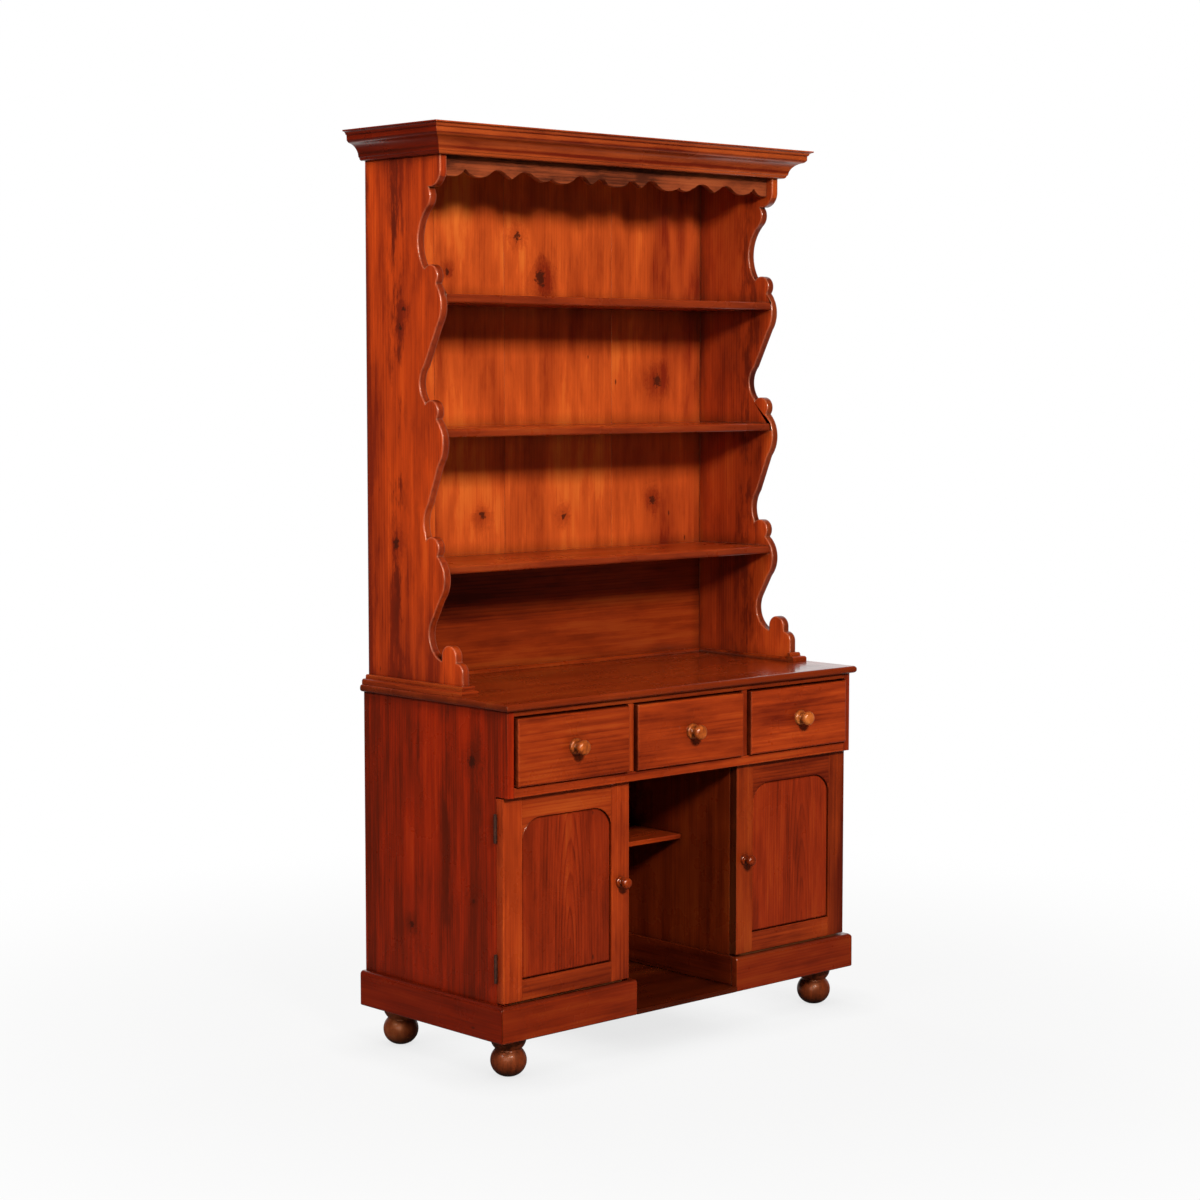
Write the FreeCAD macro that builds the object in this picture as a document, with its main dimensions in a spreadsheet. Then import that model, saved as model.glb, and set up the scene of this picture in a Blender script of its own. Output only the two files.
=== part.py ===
import FreeCAD, Part
import math
import os
import re
from FreeCAD import Placement, Rotation, Vector

# An antique pine dog-kennel dresser: a base with three drawers, two doors and an open
# kennel, and an open plate rack with shaped sides above it. Front faces -Y, up is +Z.
# The origin is on the floor, in the middle of the space that the whole piece takes.

SIZES = {
    # overall
    "base_width": 1123,
    "base_depth": 516,
    "total_height": 2134,
    # counter and carcass boards
    "counter_height": 854,
    "counter_thickness": 17.5,
    "counter_side_overhang": 12,
    "counter_front_overhang": 14,
    "counter_edge_round": 7.5,
    "side_thickness": 19,
    "board_thickness": 18,
    "kennel_width": 356,
    "back_thickness": 12,
    "back_recess": 6,
    "back_rebate": 8,
    "back_plank_gap": 0.6,
    # frieze
    "top_rail_height": 13,
    "bottom_rail_height": 23,
    "drawer_opening_height": 158.5,
    "rail_depth": 60,
    "runner_width": 22,
    "runner_height": 20,
    "stop_width": 30,
    "stop_depth": 12,
    "stop_height": 7,
    # drawers
    "drawer_side_gap": 4,
    "drawer_top_gap": 4,
    "drawer_bottom_gap": 1.5,
    "drawer_slide_clearance": 0.3,
    "drawer_proud": 11,
    "drawer_front_thickness": 20,
    "drawer_front_round": 5,
    "drawer_side_thickness": 11,
    "drawer_side_drop": 8,
    "drawer_length": 450,
    "drawer_back_drop": 14,
    "drawer_bottom_thickness": 7,
    "drawer_bottom_lift": 9,
    "drawer_groove_depth": 5,
    "groove_clearance": 0.2,
    "joint_gap": 0.2,
    # doors
    "door_setback": 16.5,
    "door_thickness": 22,
    "door_back_gap": 1,
    "door_top_gap": 2.5,
    "door_bottom_gap": 3,
    "stile_width": 56,
    "door_bottom_rail_height": 48,
    "door_top_rail_height": 50,
    "arch_corner_width": 54,
    "arch_corner_drop": 43,
    "panel_thickness": 8,
    "panel_setback": 10,
    "panel_groove_depth": 8,
    "field_setback": 2.5,
    "field_gap": 0.4,
    "field_edge_round": 6.5,
    # butt hinges
    "hinge_height": 62,
    "hinge_top_inset": 67.5,
    "hinge_bottom_inset": 78,
    "leaf_width": 15,
    "leaf_thickness": 2,
    "leaf_gap": 0.6,
    "knuckle_radius": 3.5,
    "knuckle_gap": 0.3,
    "pin_radius": 1.6,
    "pin_clearance": 0.05,
    "pin_cap_height": 1.5,
    # kennel and cupboards
    "skirt_thickness": 12.5,
    "kennel_floor_thickness": 12,
    "kennel_shelf_share": 0.65,
    "kennel_shelf_thickness": 12,
    "kennel_shelf_setback": 209,
    "housing_depth": 6,
    "cupboard_shelf_share": 0.5268,
    "cupboard_shelf_thickness": 16,
    "cupboard_shelf_setback": 25,
    "cleat_width": 20,
    "cleat_height": 22,
    # plinth and feet
    "foot_height": 92,
    "plinth_height": 83,
    "plinth_projection": 18,
    "plinth_front_thickness": 20,
    "plinth_edge_round": 9,
    "foot_radius": 41.5,
    "foot_inset": 55,
    "foot_block_size": 88,
    "spigot_radius": 12,
    "spigot_height": 34,
    # plate rack
    "hutch_inset": 14.6,
    "hutch_side_thickness": 19.3,
    "hutch_top_depth": 274,
    "hutch_foot_depth_share": 1.2591,
    "shelf_thickness": 18.5,
    "shelf_reach_share": 0.9854,
    "shelf_edge_round": 5,
    "upper_shelf_share": 0.745,
    "middle_shelf_share": 0.4942,
    "lower_shelf_share": 0.2376,
    "shelf_housing_depth": 5,
    "top_board_thickness": 16,
    "valance_height": 45,
    "valance_scallop": 20,
    "valance_thickness": 15,
    "valance_setback": 20,
    "valance_shift": 13,
    # mouldings
    "cornice_height": 68,
    "cornice_projection": 64,
    "foot_moulding_height": 22,
    "foot_moulding_projection": 20,
    "counter_bead_size": 10,
    # turned knobs
    "drawer_knob_radius": 18.5,
    "drawer_knob_length": 38,
    "door_knob_radius": 13.5,
    "door_knob_length": 32,
    "knob_spigot_radius": 5,
    "knob_spigot_length": 14,
    "door_knob_share": 0.5,
    # one overrun for every cut that runs past a face
    "overrun": 2,
}

PLACES = {
    "knob_reach": "drawer_proud + drawer_knob_length",
    "front_y": "(knob_reach - base_depth) / 2",
    "back_y": "front_y + base_depth",
    "half_width": "base_width / 2",
    "inner_x": "half_width - side_thickness",
    "kennel_x": "kennel_width / 2",
    "partition_x": "kennel_x + board_thickness",
    "cupboard_width": "inner_x - partition_x",
    "skirt_x": "kennel_x - skirt_thickness",
    "counter_under": "counter_height - counter_thickness",
    "drawer_ceiling": "counter_under - top_rail_height",
    "drawer_floor": "drawer_ceiling - drawer_opening_height",
    "frieze_bottom": "drawer_floor - bottom_rail_height",
    "plinth_top": "foot_height + plinth_height",
    "kennel_floor_top": "foot_height + kennel_floor_thickness",
    "kennel_shelf_level": "foot_height + kennel_shelf_share * (frieze_bottom - foot_height)",
    "cupboard_shelf_level": "plinth_top + cupboard_shelf_share * (frieze_bottom - plinth_top)",
    "door_bottom": "plinth_top + door_bottom_gap",
    "door_top": "frieze_bottom - door_top_gap",
    "door_height": "door_top - door_bottom",
    "door_knob_level": "door_bottom + door_knob_share * door_height",
    "hinge_upper_level": "door_top - hinge_top_inset",
    "hinge_lower_level": "door_bottom + hinge_bottom_inset",
    "door_front_y": "front_y + door_setback",
    "door_back_y": "door_front_y + door_thickness",
    "carcass_y": "door_back_y + door_back_gap",
    "plinth_back_y": "front_y + plinth_front_thickness",
    "rail_back_y": "front_y + rail_depth",
    "back_board_y": "back_y - back_recess - back_thickness",
    "hinge_x": "half_width + knuckle_radius + knuckle_gap",
    "hinge_y": "door_back_y + door_back_gap / 2",
    "hutch_x": "half_width - hutch_inset",
    "hutch_inner_x": "hutch_x - hutch_side_thickness",
    "hutch_top_y": "back_y - hutch_top_depth",
    "hutch_foot_depth": "hutch_foot_depth_share * hutch_top_depth",
    "shelf_reach": "shelf_reach_share * hutch_top_depth",
    "shelf_front_y": "back_y - shelf_reach",
    "cornice_bottom": "total_height - cornice_height",
    "rack_height": "cornice_bottom - counter_height",
    "shelf_upper_level": "counter_height + upper_shelf_share * rack_height",
    "shelf_middle_level": "counter_height + middle_shelf_share * rack_height",
    "shelf_lower_level": "counter_height + lower_shelf_share * rack_height",
    "top_board_under": "total_height - top_board_thickness",
    "plank_foot": "shelf_lower_level - shelf_thickness / 2",
    "drawer_front_y": "front_y - drawer_proud",
    "drawer_box_y": "drawer_front_y + drawer_front_thickness",
    "drawer_side_length": "drawer_length - drawer_front_thickness",
    "drawer_front_low": "drawer_floor + drawer_bottom_gap",
    "drawer_front_height": "drawer_opening_height - drawer_bottom_gap - drawer_top_gap",
    "drawer_side_low": "drawer_floor + drawer_slide_clearance",
    "drawer_side_height": "drawer_front_low + drawer_front_height - drawer_side_drop - drawer_side_low",
    "drawer_bottom_low": "drawer_floor + drawer_bottom_lift",
    "drawer_bottom_top": "drawer_bottom_low + drawer_bottom_thickness",
    "drawer_back_low": "drawer_bottom_top + joint_gap",
    "drawer_back_height": "drawer_side_low + drawer_side_height - drawer_back_drop - drawer_back_low",
    "drawer_back_y": "drawer_front_y + drawer_length - drawer_side_thickness",
    "drawer_knob_level": "drawer_front_low + drawer_front_height / 2",
    "side_drawer_x": "partition_x + cupboard_width / 2",
    "door_width": "half_width - kennel_x",
    "rail_length": "door_width - 2 * stile_width",
    "door_knob_x": "kennel_x + stile_width / 2",
    "knuckle_height": "hinge_height / 5",
}

doc = FreeCAD.newDocument("dog_kennel_dresser")
sizes = doc.addObject("Spreadsheet::Sheet", "sizes")
places = doc.addObject("Spreadsheet::Sheet", "places")


def formula(text):
    """The text with each named size and place looked up on its own sheet."""
    def with_sheet(found):
        word = found.group(0)
        if word in SIZES:
            return "sizes." + word
        if word in PLACES:
            return "places." + word
        return word
    return re.sub("[a-z_]+", with_sheet, text)


for row, (alias, number) in enumerate(SIZES.items(), 1):
    sizes.set("A%d" % row, alias)
    sizes.set("B%d" % row, str(number))
    sizes.setAlias("B%d" % row, alias)
doc.recompute()
for row, (alias, text) in enumerate(PLACES.items(), 1):
    places.set("A%d" % row, alias)
    places.set("B%d" % row, "=" + formula(text).replace("places.", ""))
    places.setAlias("B%d" % row, alias)
doc.recompute()


def mm(alias):
    """The number that a named size or place has on its sheet."""
    return float(getattr(sizes if alias in SIZES else places, alias))


nodes = []


def node(label, at=("0", "0", "0"), turn=None):
    """A new body for one sub-part, with its placement bound to the sheets."""
    body = doc.addObject("PartDesign::Body", label)
    body.Label = label
    if turn:
        body.Placement = Placement(Vector(), turn)
    for axis, text in zip("xyz", at):
        body.setExpression("Placement.Base." + axis, formula(text))
    nodes.append(body)
    return body


def block(body, name, low, size, kind="Additive"):
    """A box in a body from its low corner and its size, added or cut away."""
    box = body.newObject("PartDesign::%sBox" % kind, body.Label + "_" + name)
    for side, text in zip(("Length", "Width", "Height"), size):
        box.setExpression(side, formula(text))
    for axis, text in zip("xyz", low):
        box.setExpression("Placement.Base." + axis, formula(text))
    return box


def cut(body, name, low, size):
    """A box cut out of a body."""
    return block(body, name, low, size, "Subtractive")


def rod(body, name, centre, radius, height, kind="Additive"):
    """An upright round bar in a body, or a round hole cut in it."""
    bar = body.newObject("PartDesign::%sCylinder" % kind, body.Label + "_" + name)
    bar.setExpression("Radius", formula(radius))
    bar.setExpression("Height", formula(height))
    for axis, text in zip("xyz", centre):
        bar.setExpression("Placement.Base." + axis, formula(text))
    return bar


def mirrored_low(hand, low, length):
    """The low X of a box that starts at low on the right hand, or its mirror on the left."""
    return low if hand > 0 else "-(%s) - (%s)" % (low, length)


def outline(points):
    """Edges round a closed outline: a point with two more numbers ends an arc through them."""
    edges = []
    last = points[-1]
    for point in points:
        start = Vector(last[0], last[1])
        end = Vector(point[0], point[1])
        if len(point) == 4:
            edges.append(Part.Arc(start, Vector(point[2], point[3]), end))
        else:
            edges.append(Part.LineSegment(start, end))
        last = point
    return edges


def sketch(body, name, role, points, at=("0", "0", "0")):
    """A closed outline on one of the body's own origin planes, moved along its three axes."""
    drawing = body.newObject("Sketcher::SketchObject", body.Label + "_" + name)
    plane = [part for part in body.Origin.OriginFeatures if part.Role == role][0]
    drawing.AttachmentSupport = [(plane, "")]
    drawing.MapMode = "FlatFace"
    for axis, text in zip("xyz", at):
        drawing.setExpression("AttachmentOffset.Base." + axis, formula(text))
    drawing.addGeometry(outline(points), False)
    return drawing


def pad(body, name, role, points, length, start="0"):
    """An outline made solid to a bound length, from a bound start along its plane's normal."""
    solid = body.newObject("PartDesign::Pad", body.Label + "_" + name)
    solid.Profile = sketch(body, name + "_outline", role, points, ("0", "0", start))
    solid.setExpression("Length", formula(length))
    return solid


def turned(body, name, points, x_text="0", y_text="0"):
    """An outline in the XZ plane turned round an upright axis at a given X and Y."""
    profile = sketch(body, name + "_profile", "XZ_Plane", points, (x_text, "0", "-(%s)" % y_text))
    solid = body.newObject("PartDesign::Revolution", body.Label + "_" + name)
    solid.Profile = profile
    solid.ReferenceAxis = (profile, ["V_Axis"])
    return solid


def round_edges(body, name, feature, rule, radius):
    """A fillet on the edges of a feature whose middle point passes the rule."""
    doc.recompute()
    picked = []
    for number, edge in enumerate(feature.Shape.Edges, 1):
        middle = edge.valueAt((edge.FirstParameter + edge.LastParameter) / 2)
        if rule(middle):
            picked.append("Edge%d" % number)
    fillet = body.newObject("PartDesign::Fillet", body.Label + "_" + name)
    fillet.Base = (feature, picked)
    fillet.setExpression("Radius", formula(radius))
    return fillet


def near(first, second):
    """True where two places are the same to a hair."""
    return math.isclose(first, second, abs_tol=mm("joint_gap") / 2)


HANDS = (("left", -1), ("right", 1))


# The worktop: one wide board with a rounded edge on the front and both ends.
def make_counter():
    body = node("counter_top", ("-half_width - counter_side_overhang",
                                "front_y - counter_front_overhang", "counter_under"))
    width = "base_width + 2 * counter_side_overhang"
    depth = "base_depth + counter_front_overhang"
    board = block(body, "board", ("0", "0", "0"), (width, depth, "counter_thickness"))
    far_x = mm("base_width") + 2 * mm("counter_side_overhang")

    def is_edge(point):
        level = near(point.z, 0) or near(point.z, mm("counter_thickness"))
        return level and (near(point.x, 0) or near(point.x, far_x) or near(point.y, 0))
    round_edges(body, "thumb_edge", board, is_edge, "counter_edge_round")


# The two sides of the base. The front edge stands full in the frieze, is cut back behind
# the doors, and meets the back of the plinth below them.
def make_base_sides():
    for side, hand in HANDS:
        body = node("base_side_" + side)
        low_x = mirrored_low(hand, "inner_x", "side_thickness")
        block(body, "board", (low_x, "front_y", "foot_height"),
              ("side_thickness", "base_depth", "counter_under - foot_height"))
        cut_x = mirrored_low(hand, "inner_x - overrun", "side_thickness + 2 * overrun")
        cut_width = "side_thickness + 2 * overrun"
        cut(body, "door_step", (cut_x, "front_y - overrun", "plinth_top"),
            (cut_width, "carcass_y - front_y + overrun", "frieze_bottom - plinth_top"))
        cut(body, "plinth_step", (cut_x, "front_y - overrun", "foot_height - overrun"),
            (cut_width, "plinth_front_thickness + overrun", "plinth_height + overrun"))
        rebate_x = mirrored_low(hand, "inner_x - overrun", "back_rebate + overrun")
        cut(body, "back_rebate", (rebate_x, "back_board_y", "foot_height - overrun"),
            ("back_rebate + overrun", "back_thickness + back_recess + overrun",
             "counter_under - foot_height + 2 * overrun"))
        leaf_x = mirrored_low(hand, "half_width - leaf_width", "leaf_width + overrun")
        for level in ("lower", "upper"):
            cut(body, level + "_leaf_seat",
                (leaf_x, "carcass_y - overrun", "hinge_%s_level - hinge_height / 2" % level),
                ("leaf_width + overrun", "hinge_y + leaf_gap / 2 + leaf_thickness - carcass_y + overrun",
                 "hinge_height"))


# The two upright boards that close the kennel off from the cupboards, with a housing
# for the kennel shelf in each.
def make_partitions():
    for side, hand in HANDS:
        body = node("kennel_partition_" + side)
        low_x = mirrored_low(hand, "kennel_x", "board_thickness")
        block(body, "board", (low_x, "carcass_y", "foot_height"),
              ("board_thickness", "back_board_y - carcass_y", "frieze_bottom - foot_height"))
        groove_x = mirrored_low(hand, "kennel_x - overrun", "housing_depth + overrun")
        cut(body, "shelf_housing",
            (groove_x, "front_y + kennel_shelf_setback", "kennel_shelf_level - kennel_shelf_thickness"),
            ("housing_depth + overrun", "back_board_y - front_y - kennel_shelf_setback + overrun",
             "kennel_shelf_thickness"))


# The frieze: a thin rail under the worktop, a deeper rail below the drawers, and two
# upright dividers notched over both.
def make_frieze():
    for label, low, height in (("frieze_top_rail", "drawer_ceiling", "top_rail_height"),
                               ("frieze_bottom_rail", "frieze_bottom", "bottom_rail_height")):
        body = node(label, ("-inner_x", "front_y", low))
        block(body, "bar", ("0", "0", "0"), ("2 * inner_x", "rail_depth", height))
    body = node("drawer_dividers")
    for side, hand in HANDS:
        block(body, side + "_board",
              (mirrored_low(hand, "kennel_x", "board_thickness"), "front_y", "frieze_bottom"),
              ("board_thickness", "back_board_y - front_y", "counter_under - frieze_bottom"))
    for side, hand in HANDS:
        notch_x = mirrored_low(hand, "kennel_x - overrun", "board_thickness + 2 * overrun")
        for name, low, height in (("lower_notch", "frieze_bottom - overrun", "bottom_rail_height + overrun"),
                                  ("upper_notch", "drawer_ceiling", "top_rail_height + overrun")):
            cut(body, side + "_" + name, (notch_x, "front_y - overrun", low),
                ("board_thickness + 2 * overrun", "rail_depth + overrun", height))


# What each drawer runs on: a pair of bars behind the bottom rail, a pair above that keep
# it from tipping, and two small blocks on the rail that stop it at its closed place.
def make_drawer_runners():
    starts = ("-inner_x", "-partition_x - runner_width", "-kennel_x", "kennel_x - runner_width",
              "partition_x", "inner_x - runner_width")
    length = "back_board_y - rail_back_y"
    for label, low, height in (("drawer_runners", "drawer_floor - runner_height", "runner_height"),
                               ("drawer_kickers", "drawer_ceiling", "top_rail_height")):
        body = node(label)
        for number, start in enumerate(starts, 1):
            block(body, "bar_%d" % number, (start, "rail_back_y", low), ("runner_width", length, height))
    body = node("drawer_stops")
    for number, start in enumerate(starts, 1):
        inset = "+ runner_width" if number % 2 else "- runner_width"
        block(body, "stop_%d" % number,
              ("%s + runner_width / 2 - stop_width / 2 %s" % (start, inset),
               "drawer_box_y + drawer_slide_clearance", "drawer_floor"),
              ("stop_width", "stop_depth", "stop_height"))


# The back of the base: five upright planks let into rebates in the sides.
def make_base_back():
    body = node("base_back_boards")
    count = 5
    span = "(2 * inner_x + 2 * back_rebate)"
    for number in range(count):
        block(body, "plank_%d" % (number + 1),
              ("-inner_x - back_rebate + %s * %d / %d + back_plank_gap / 2" % (span, number, count),
               "back_board_y", "foot_height"),
              ("%s / %d - back_plank_gap" % (span, count), "back_thickness", "counter_under - foot_height"))


# Floors and shelves: a floor in each cupboard level with the plinth, a half-depth shelf
# in each on two cleats, the low kennel floor with a board along each side of it, and the
# narrow kennel shelf.
def make_floors_and_shelves():
    depth = "back_board_y - plinth_back_y"
    floors = node("cupboard_floors")
    shelves = node("cupboard_shelves")
    for side, hand in HANDS:
        low_x = mirrored_low(hand, "partition_x", "cupboard_width")
        block(floors, side + "_board", (low_x, "plinth_back_y", "plinth_top - board_thickness"),
              ("cupboard_width", depth, "board_thickness"))
        block(shelves, side + "_board",
              (low_x, "carcass_y + cupboard_shelf_setback",
               "cupboard_shelf_level - cupboard_shelf_thickness"),
              ("cupboard_width", "back_board_y - carcass_y - cupboard_shelf_setback",
               "cupboard_shelf_thickness"))
    body = node("cupboard_shelf_cleats")
    for side, hand in HANDS:
        for name, start in (("inner", "partition_x"), ("outer", "inner_x - cleat_width")):
            block(body, "%s_%s" % (side, name),
                  (mirrored_low(hand, start, "cleat_width"),
                   "carcass_y + cupboard_shelf_setback + cleat_width",
                   "cupboard_shelf_level - cupboard_shelf_thickness - cleat_height"),
                  ("cleat_width", "back_board_y - carcass_y - cupboard_shelf_setback - 2 * cleat_width",
                   "cleat_height"))
    body = node("kennel_floor")
    block(body, "board", ("-kennel_x", "plinth_back_y", "foot_height"),
          ("kennel_width", depth, "kennel_floor_thickness"))
    block(body, "lip", ("-skirt_x", "front_y", "foot_height"),
          ("2 * skirt_x", "plinth_front_thickness", "kennel_floor_thickness"))
    body = node("kennel_skirts")
    for side, hand in HANDS:
        block(body, side,
              (mirrored_low(hand, "skirt_x", "skirt_thickness"), "plinth_back_y", "kennel_floor_top"),
              ("skirt_thickness", depth, "plinth_top - kennel_floor_top"))
    body = node("kennel_shelf")
    block(body, "board",
          ("-kennel_x - housing_depth", "front_y + kennel_shelf_setback",
           "kennel_shelf_level - kennel_shelf_thickness"),
          ("kennel_width + 2 * housing_depth", "back_board_y - front_y - kennel_shelf_setback",
           "kennel_shelf_thickness"))


# The plinth: a board along each side and a short one under each door, mitred at the
# corner, all with a rounded top edge.
def make_plinth():
    out_x = mm("half_width") + mm("plinth_projection")
    in_x = mm("half_width")
    front = mm("front_y")
    behind = mm("plinth_back_y")
    end_x = mm("skirt_x")
    fronts = node("plinth_fronts", ("0", "0", "foot_height"))
    sides = node("plinth_sides", ("0", "0", "foot_height"))
    top = mm("plinth_height")
    for side, hand in HANDS:
        ends = [(hand * out_x, front), (hand * end_x, front), (hand * end_x, behind), (hand * in_x, behind)]
        last_front = pad(fronts, side, "XY_Plane", ends, "plinth_height")
        strip = [(hand * out_x, front), (hand * in_x, behind), (hand * in_x, mm("back_y")),
                 (hand * out_x, mm("back_y"))]
        last_side = pad(sides, side, "XY_Plane", strip, "plinth_height")
    round_edges(fronts, "top_edge", last_front,
                lambda point: near(point.z, top) and near(point.y, front), "plinth_edge_round")
    round_edges(sides, "top_edge", last_side,
                lambda point: near(point.z, top) and near(abs(point.x), out_x), "plinth_edge_round")


# Four turned bun feet, each with a flared collar and a spigot, and the four glued
# blocks inside the plinth that take the spigots.
FOOT_CORNERS = (("front_left", -1, "front_y + plinth_back_y - front_y", 1),
                ("front_right", 1, "front_y + plinth_back_y - front_y", 1),
                ("back_left", -1, "back_board_y", -1),
                ("back_right", 1, "back_board_y", -1))
# radius as a share of the widest, height as a share of the foot
BUN_SHARES = ((0.39, 0), (0.71, 0.675, 1, 0.39), (0.985, 0.92, 0.905, 0.785), (0.985, 1))


def make_feet():
    radius = mm("foot_radius")
    height = mm("foot_height")
    feet = node("bun_feet")
    blocks = node("foot_blocks")
    for corner, hand, wall, inward in FOOT_CORNERS:
        foot_x = "%d * (half_width - foot_inset)" % hand
        low_y = wall if inward > 0 else wall + " - foot_block_size"
        foot_y = "%s + foot_block_size / 2" % low_y
        block(blocks, corner,
              (mirrored_low(hand, "inner_x - foot_block_size", "foot_block_size"), low_y, "foot_height"),
              ("foot_block_size", "foot_block_size", "plinth_height - board_thickness"))
        rod(blocks, corner + "_socket", (foot_x, foot_y, "foot_height - overrun"),
            "spigot_radius", "spigot_height + overrun", "Subtractive")
        profile = [(0, 0)]
        for share in BUN_SHARES:
            profile.append(tuple(part * (height if place % 2 else radius)
                                 for place, part in enumerate(share)))
        profile.append((mm("spigot_radius"), height))
        profile.append((mm("spigot_radius"), height + mm("spigot_height")))
        profile.append((0, height + mm("spigot_height")))
        turned(feet, corner, profile, foot_x, foot_y)


# A turned knob with a flange, a neck, a mushroom head and a spigot, standing on its
# front board and facing the viewer.
KNOB_SHARES = ((1, 0), (1, 0.07), (0.52, 0.17, 0.93, 0.15), (0.42, 0.36, 0.4, 0.26),
               (0.92, 0.7, 0.74, 0.5), (0.55, 0.965, 0.84, 0.88))


def make_knob(label, kind, at):
    radius = mm(kind + "_knob_radius")
    length = mm(kind + "_knob_length")
    body = node(label, at, Rotation(Vector(1, 0, 0), 90))
    profile = [(0, -mm("knob_spigot_length")), (mm("knob_spigot_radius"), -mm("knob_spigot_length")),
               (mm("knob_spigot_radius"), 0)]
    for share in KNOB_SHARES:
        profile.append(tuple(part * (length if place % 2 else radius) for place, part in enumerate(share)))
    profile.append((0, length))
    turned(body, "turning", profile)


def knob_hole(body, name, x_text, z_text, front_text):
    """The round hole for a knob's spigot, sunk straight back from a front face."""
    hole = rod(body, name, (x_text, front_text + " + knob_spigot_length", z_text),
               "knob_spigot_radius", "knob_spigot_length + overrun", "Subtractive")
    hole.Placement = Placement(Vector(), Rotation(Vector(1, 0, 0), 90))
    return hole


# Three drawers. Each is a front that stands proud of the frieze, two sides, a back and a
# bottom let into grooves.
def make_drawer(name, centre, opening):
    front_width = "(%s - 2 * drawer_side_gap)" % opening
    left = "%s - %s / 2" % (centre, front_width)
    front = node(name + "_drawer_front")
    board = block(front, "board", (left, "drawer_front_y", "drawer_front_low"),
                  (front_width, "drawer_front_thickness", "drawer_front_height"))
    doc.recompute()
    face = mm("drawer_front_y")
    eased = round_edges(front, "eased", board, lambda point: near(point.y, face), "drawer_front_round")
    groove_low = "drawer_bottom_low - groove_clearance"
    groove_height = "drawer_bottom_thickness + 2 * groove_clearance"
    inside = "(%s - 2 * drawer_side_thickness)" % front_width
    cut(front, "groove",
        ("%s - %s / 2 - drawer_groove_depth" % (centre, inside), "drawer_box_y - drawer_groove_depth",
         groove_low),
        (inside + " + 2 * drawer_groove_depth", "drawer_groove_depth + overrun", groove_height))
    knob_hole(front, "knob_hole", centre, "drawer_knob_level", "drawer_front_y")

    box = node(name + "_drawer_box")
    starts = (left, "%s + %s / 2 - drawer_side_thickness" % (centre, front_width))
    for number, start in enumerate(starts):
        block(box, "side_%d" % number, (start, "drawer_box_y", "drawer_side_low"),
              ("drawer_side_thickness", "drawer_side_length", "drawer_side_height"))
    block(box, "back", ("%s - %s / 2 + joint_gap" % (centre, inside), "drawer_back_y", "drawer_back_low"),
          (inside + " - 2 * joint_gap", "drawer_side_thickness", "drawer_back_height"))
    cut(box, "groove",
        ("%s - %s / 2 - drawer_groove_depth" % (centre, inside), "drawer_box_y - overrun", groove_low),
        (inside + " + 2 * drawer_groove_depth", "drawer_side_length + 2 * overrun", groove_height))

    bottom = node(name + "_drawer_bottom")
    reach = "(drawer_groove_depth - groove_clearance)"
    block(bottom, "board",
          ("%s - %s / 2 - %s" % (centre, inside, reach), "drawer_box_y - " + reach, "drawer_bottom_low"),
          ("%s + 2 * %s" % (inside, reach), "drawer_side_length + " + reach, "drawer_bottom_thickness"))
    make_knob(name + "_drawer_knob", "drawer", (centre, "drawer_front_y", "drawer_knob_level"))


# Two framed doors that lie over the carcass. The stiles and rails are grooved for a
# panel, the top rail is cut to a flat arch, and the panel has a raised middle of the
# same arched shape with a rounded edge.
def arched(hand, inset):
    """The outline of a door's opening in X and Z, drawn in by an inset on every side."""
    low_x = mm("kennel_x") + mm("stile_width")
    high_x = mm("half_width") - mm("stile_width")
    low_z = mm("door_bottom") + mm("door_bottom_rail_height") + inset
    flat = mm("door_top") - mm("door_top_rail_height")
    corner = mm("arch_corner_width")
    drop = mm("arch_corner_drop")
    # each corner is an arc that runs level into the flat of the arch
    centre_drop = (corner ** 2 + drop ** 2) / (2 * drop)
    radius = centre_drop - inset
    rise = math.sqrt(radius ** 2 - (corner - inset) ** 2)
    half_turn = math.atan2(corner - inset, rise) / 2
    middle_x = corner - radius * math.sin(half_turn)
    middle_z = flat - centre_drop + radius * math.cos(half_turn)
    spring = flat - centre_drop + rise
    return [(hand * (low_x + inset), low_z), (hand * (low_x + inset), spring),
            (hand * (low_x + corner), flat - inset, hand * (low_x + middle_x), middle_z),
            (hand * (high_x - corner), flat - inset),
            (hand * (high_x - inset), spring, hand * (high_x - middle_x), middle_z),
            (hand * (high_x - inset), low_z)]


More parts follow.
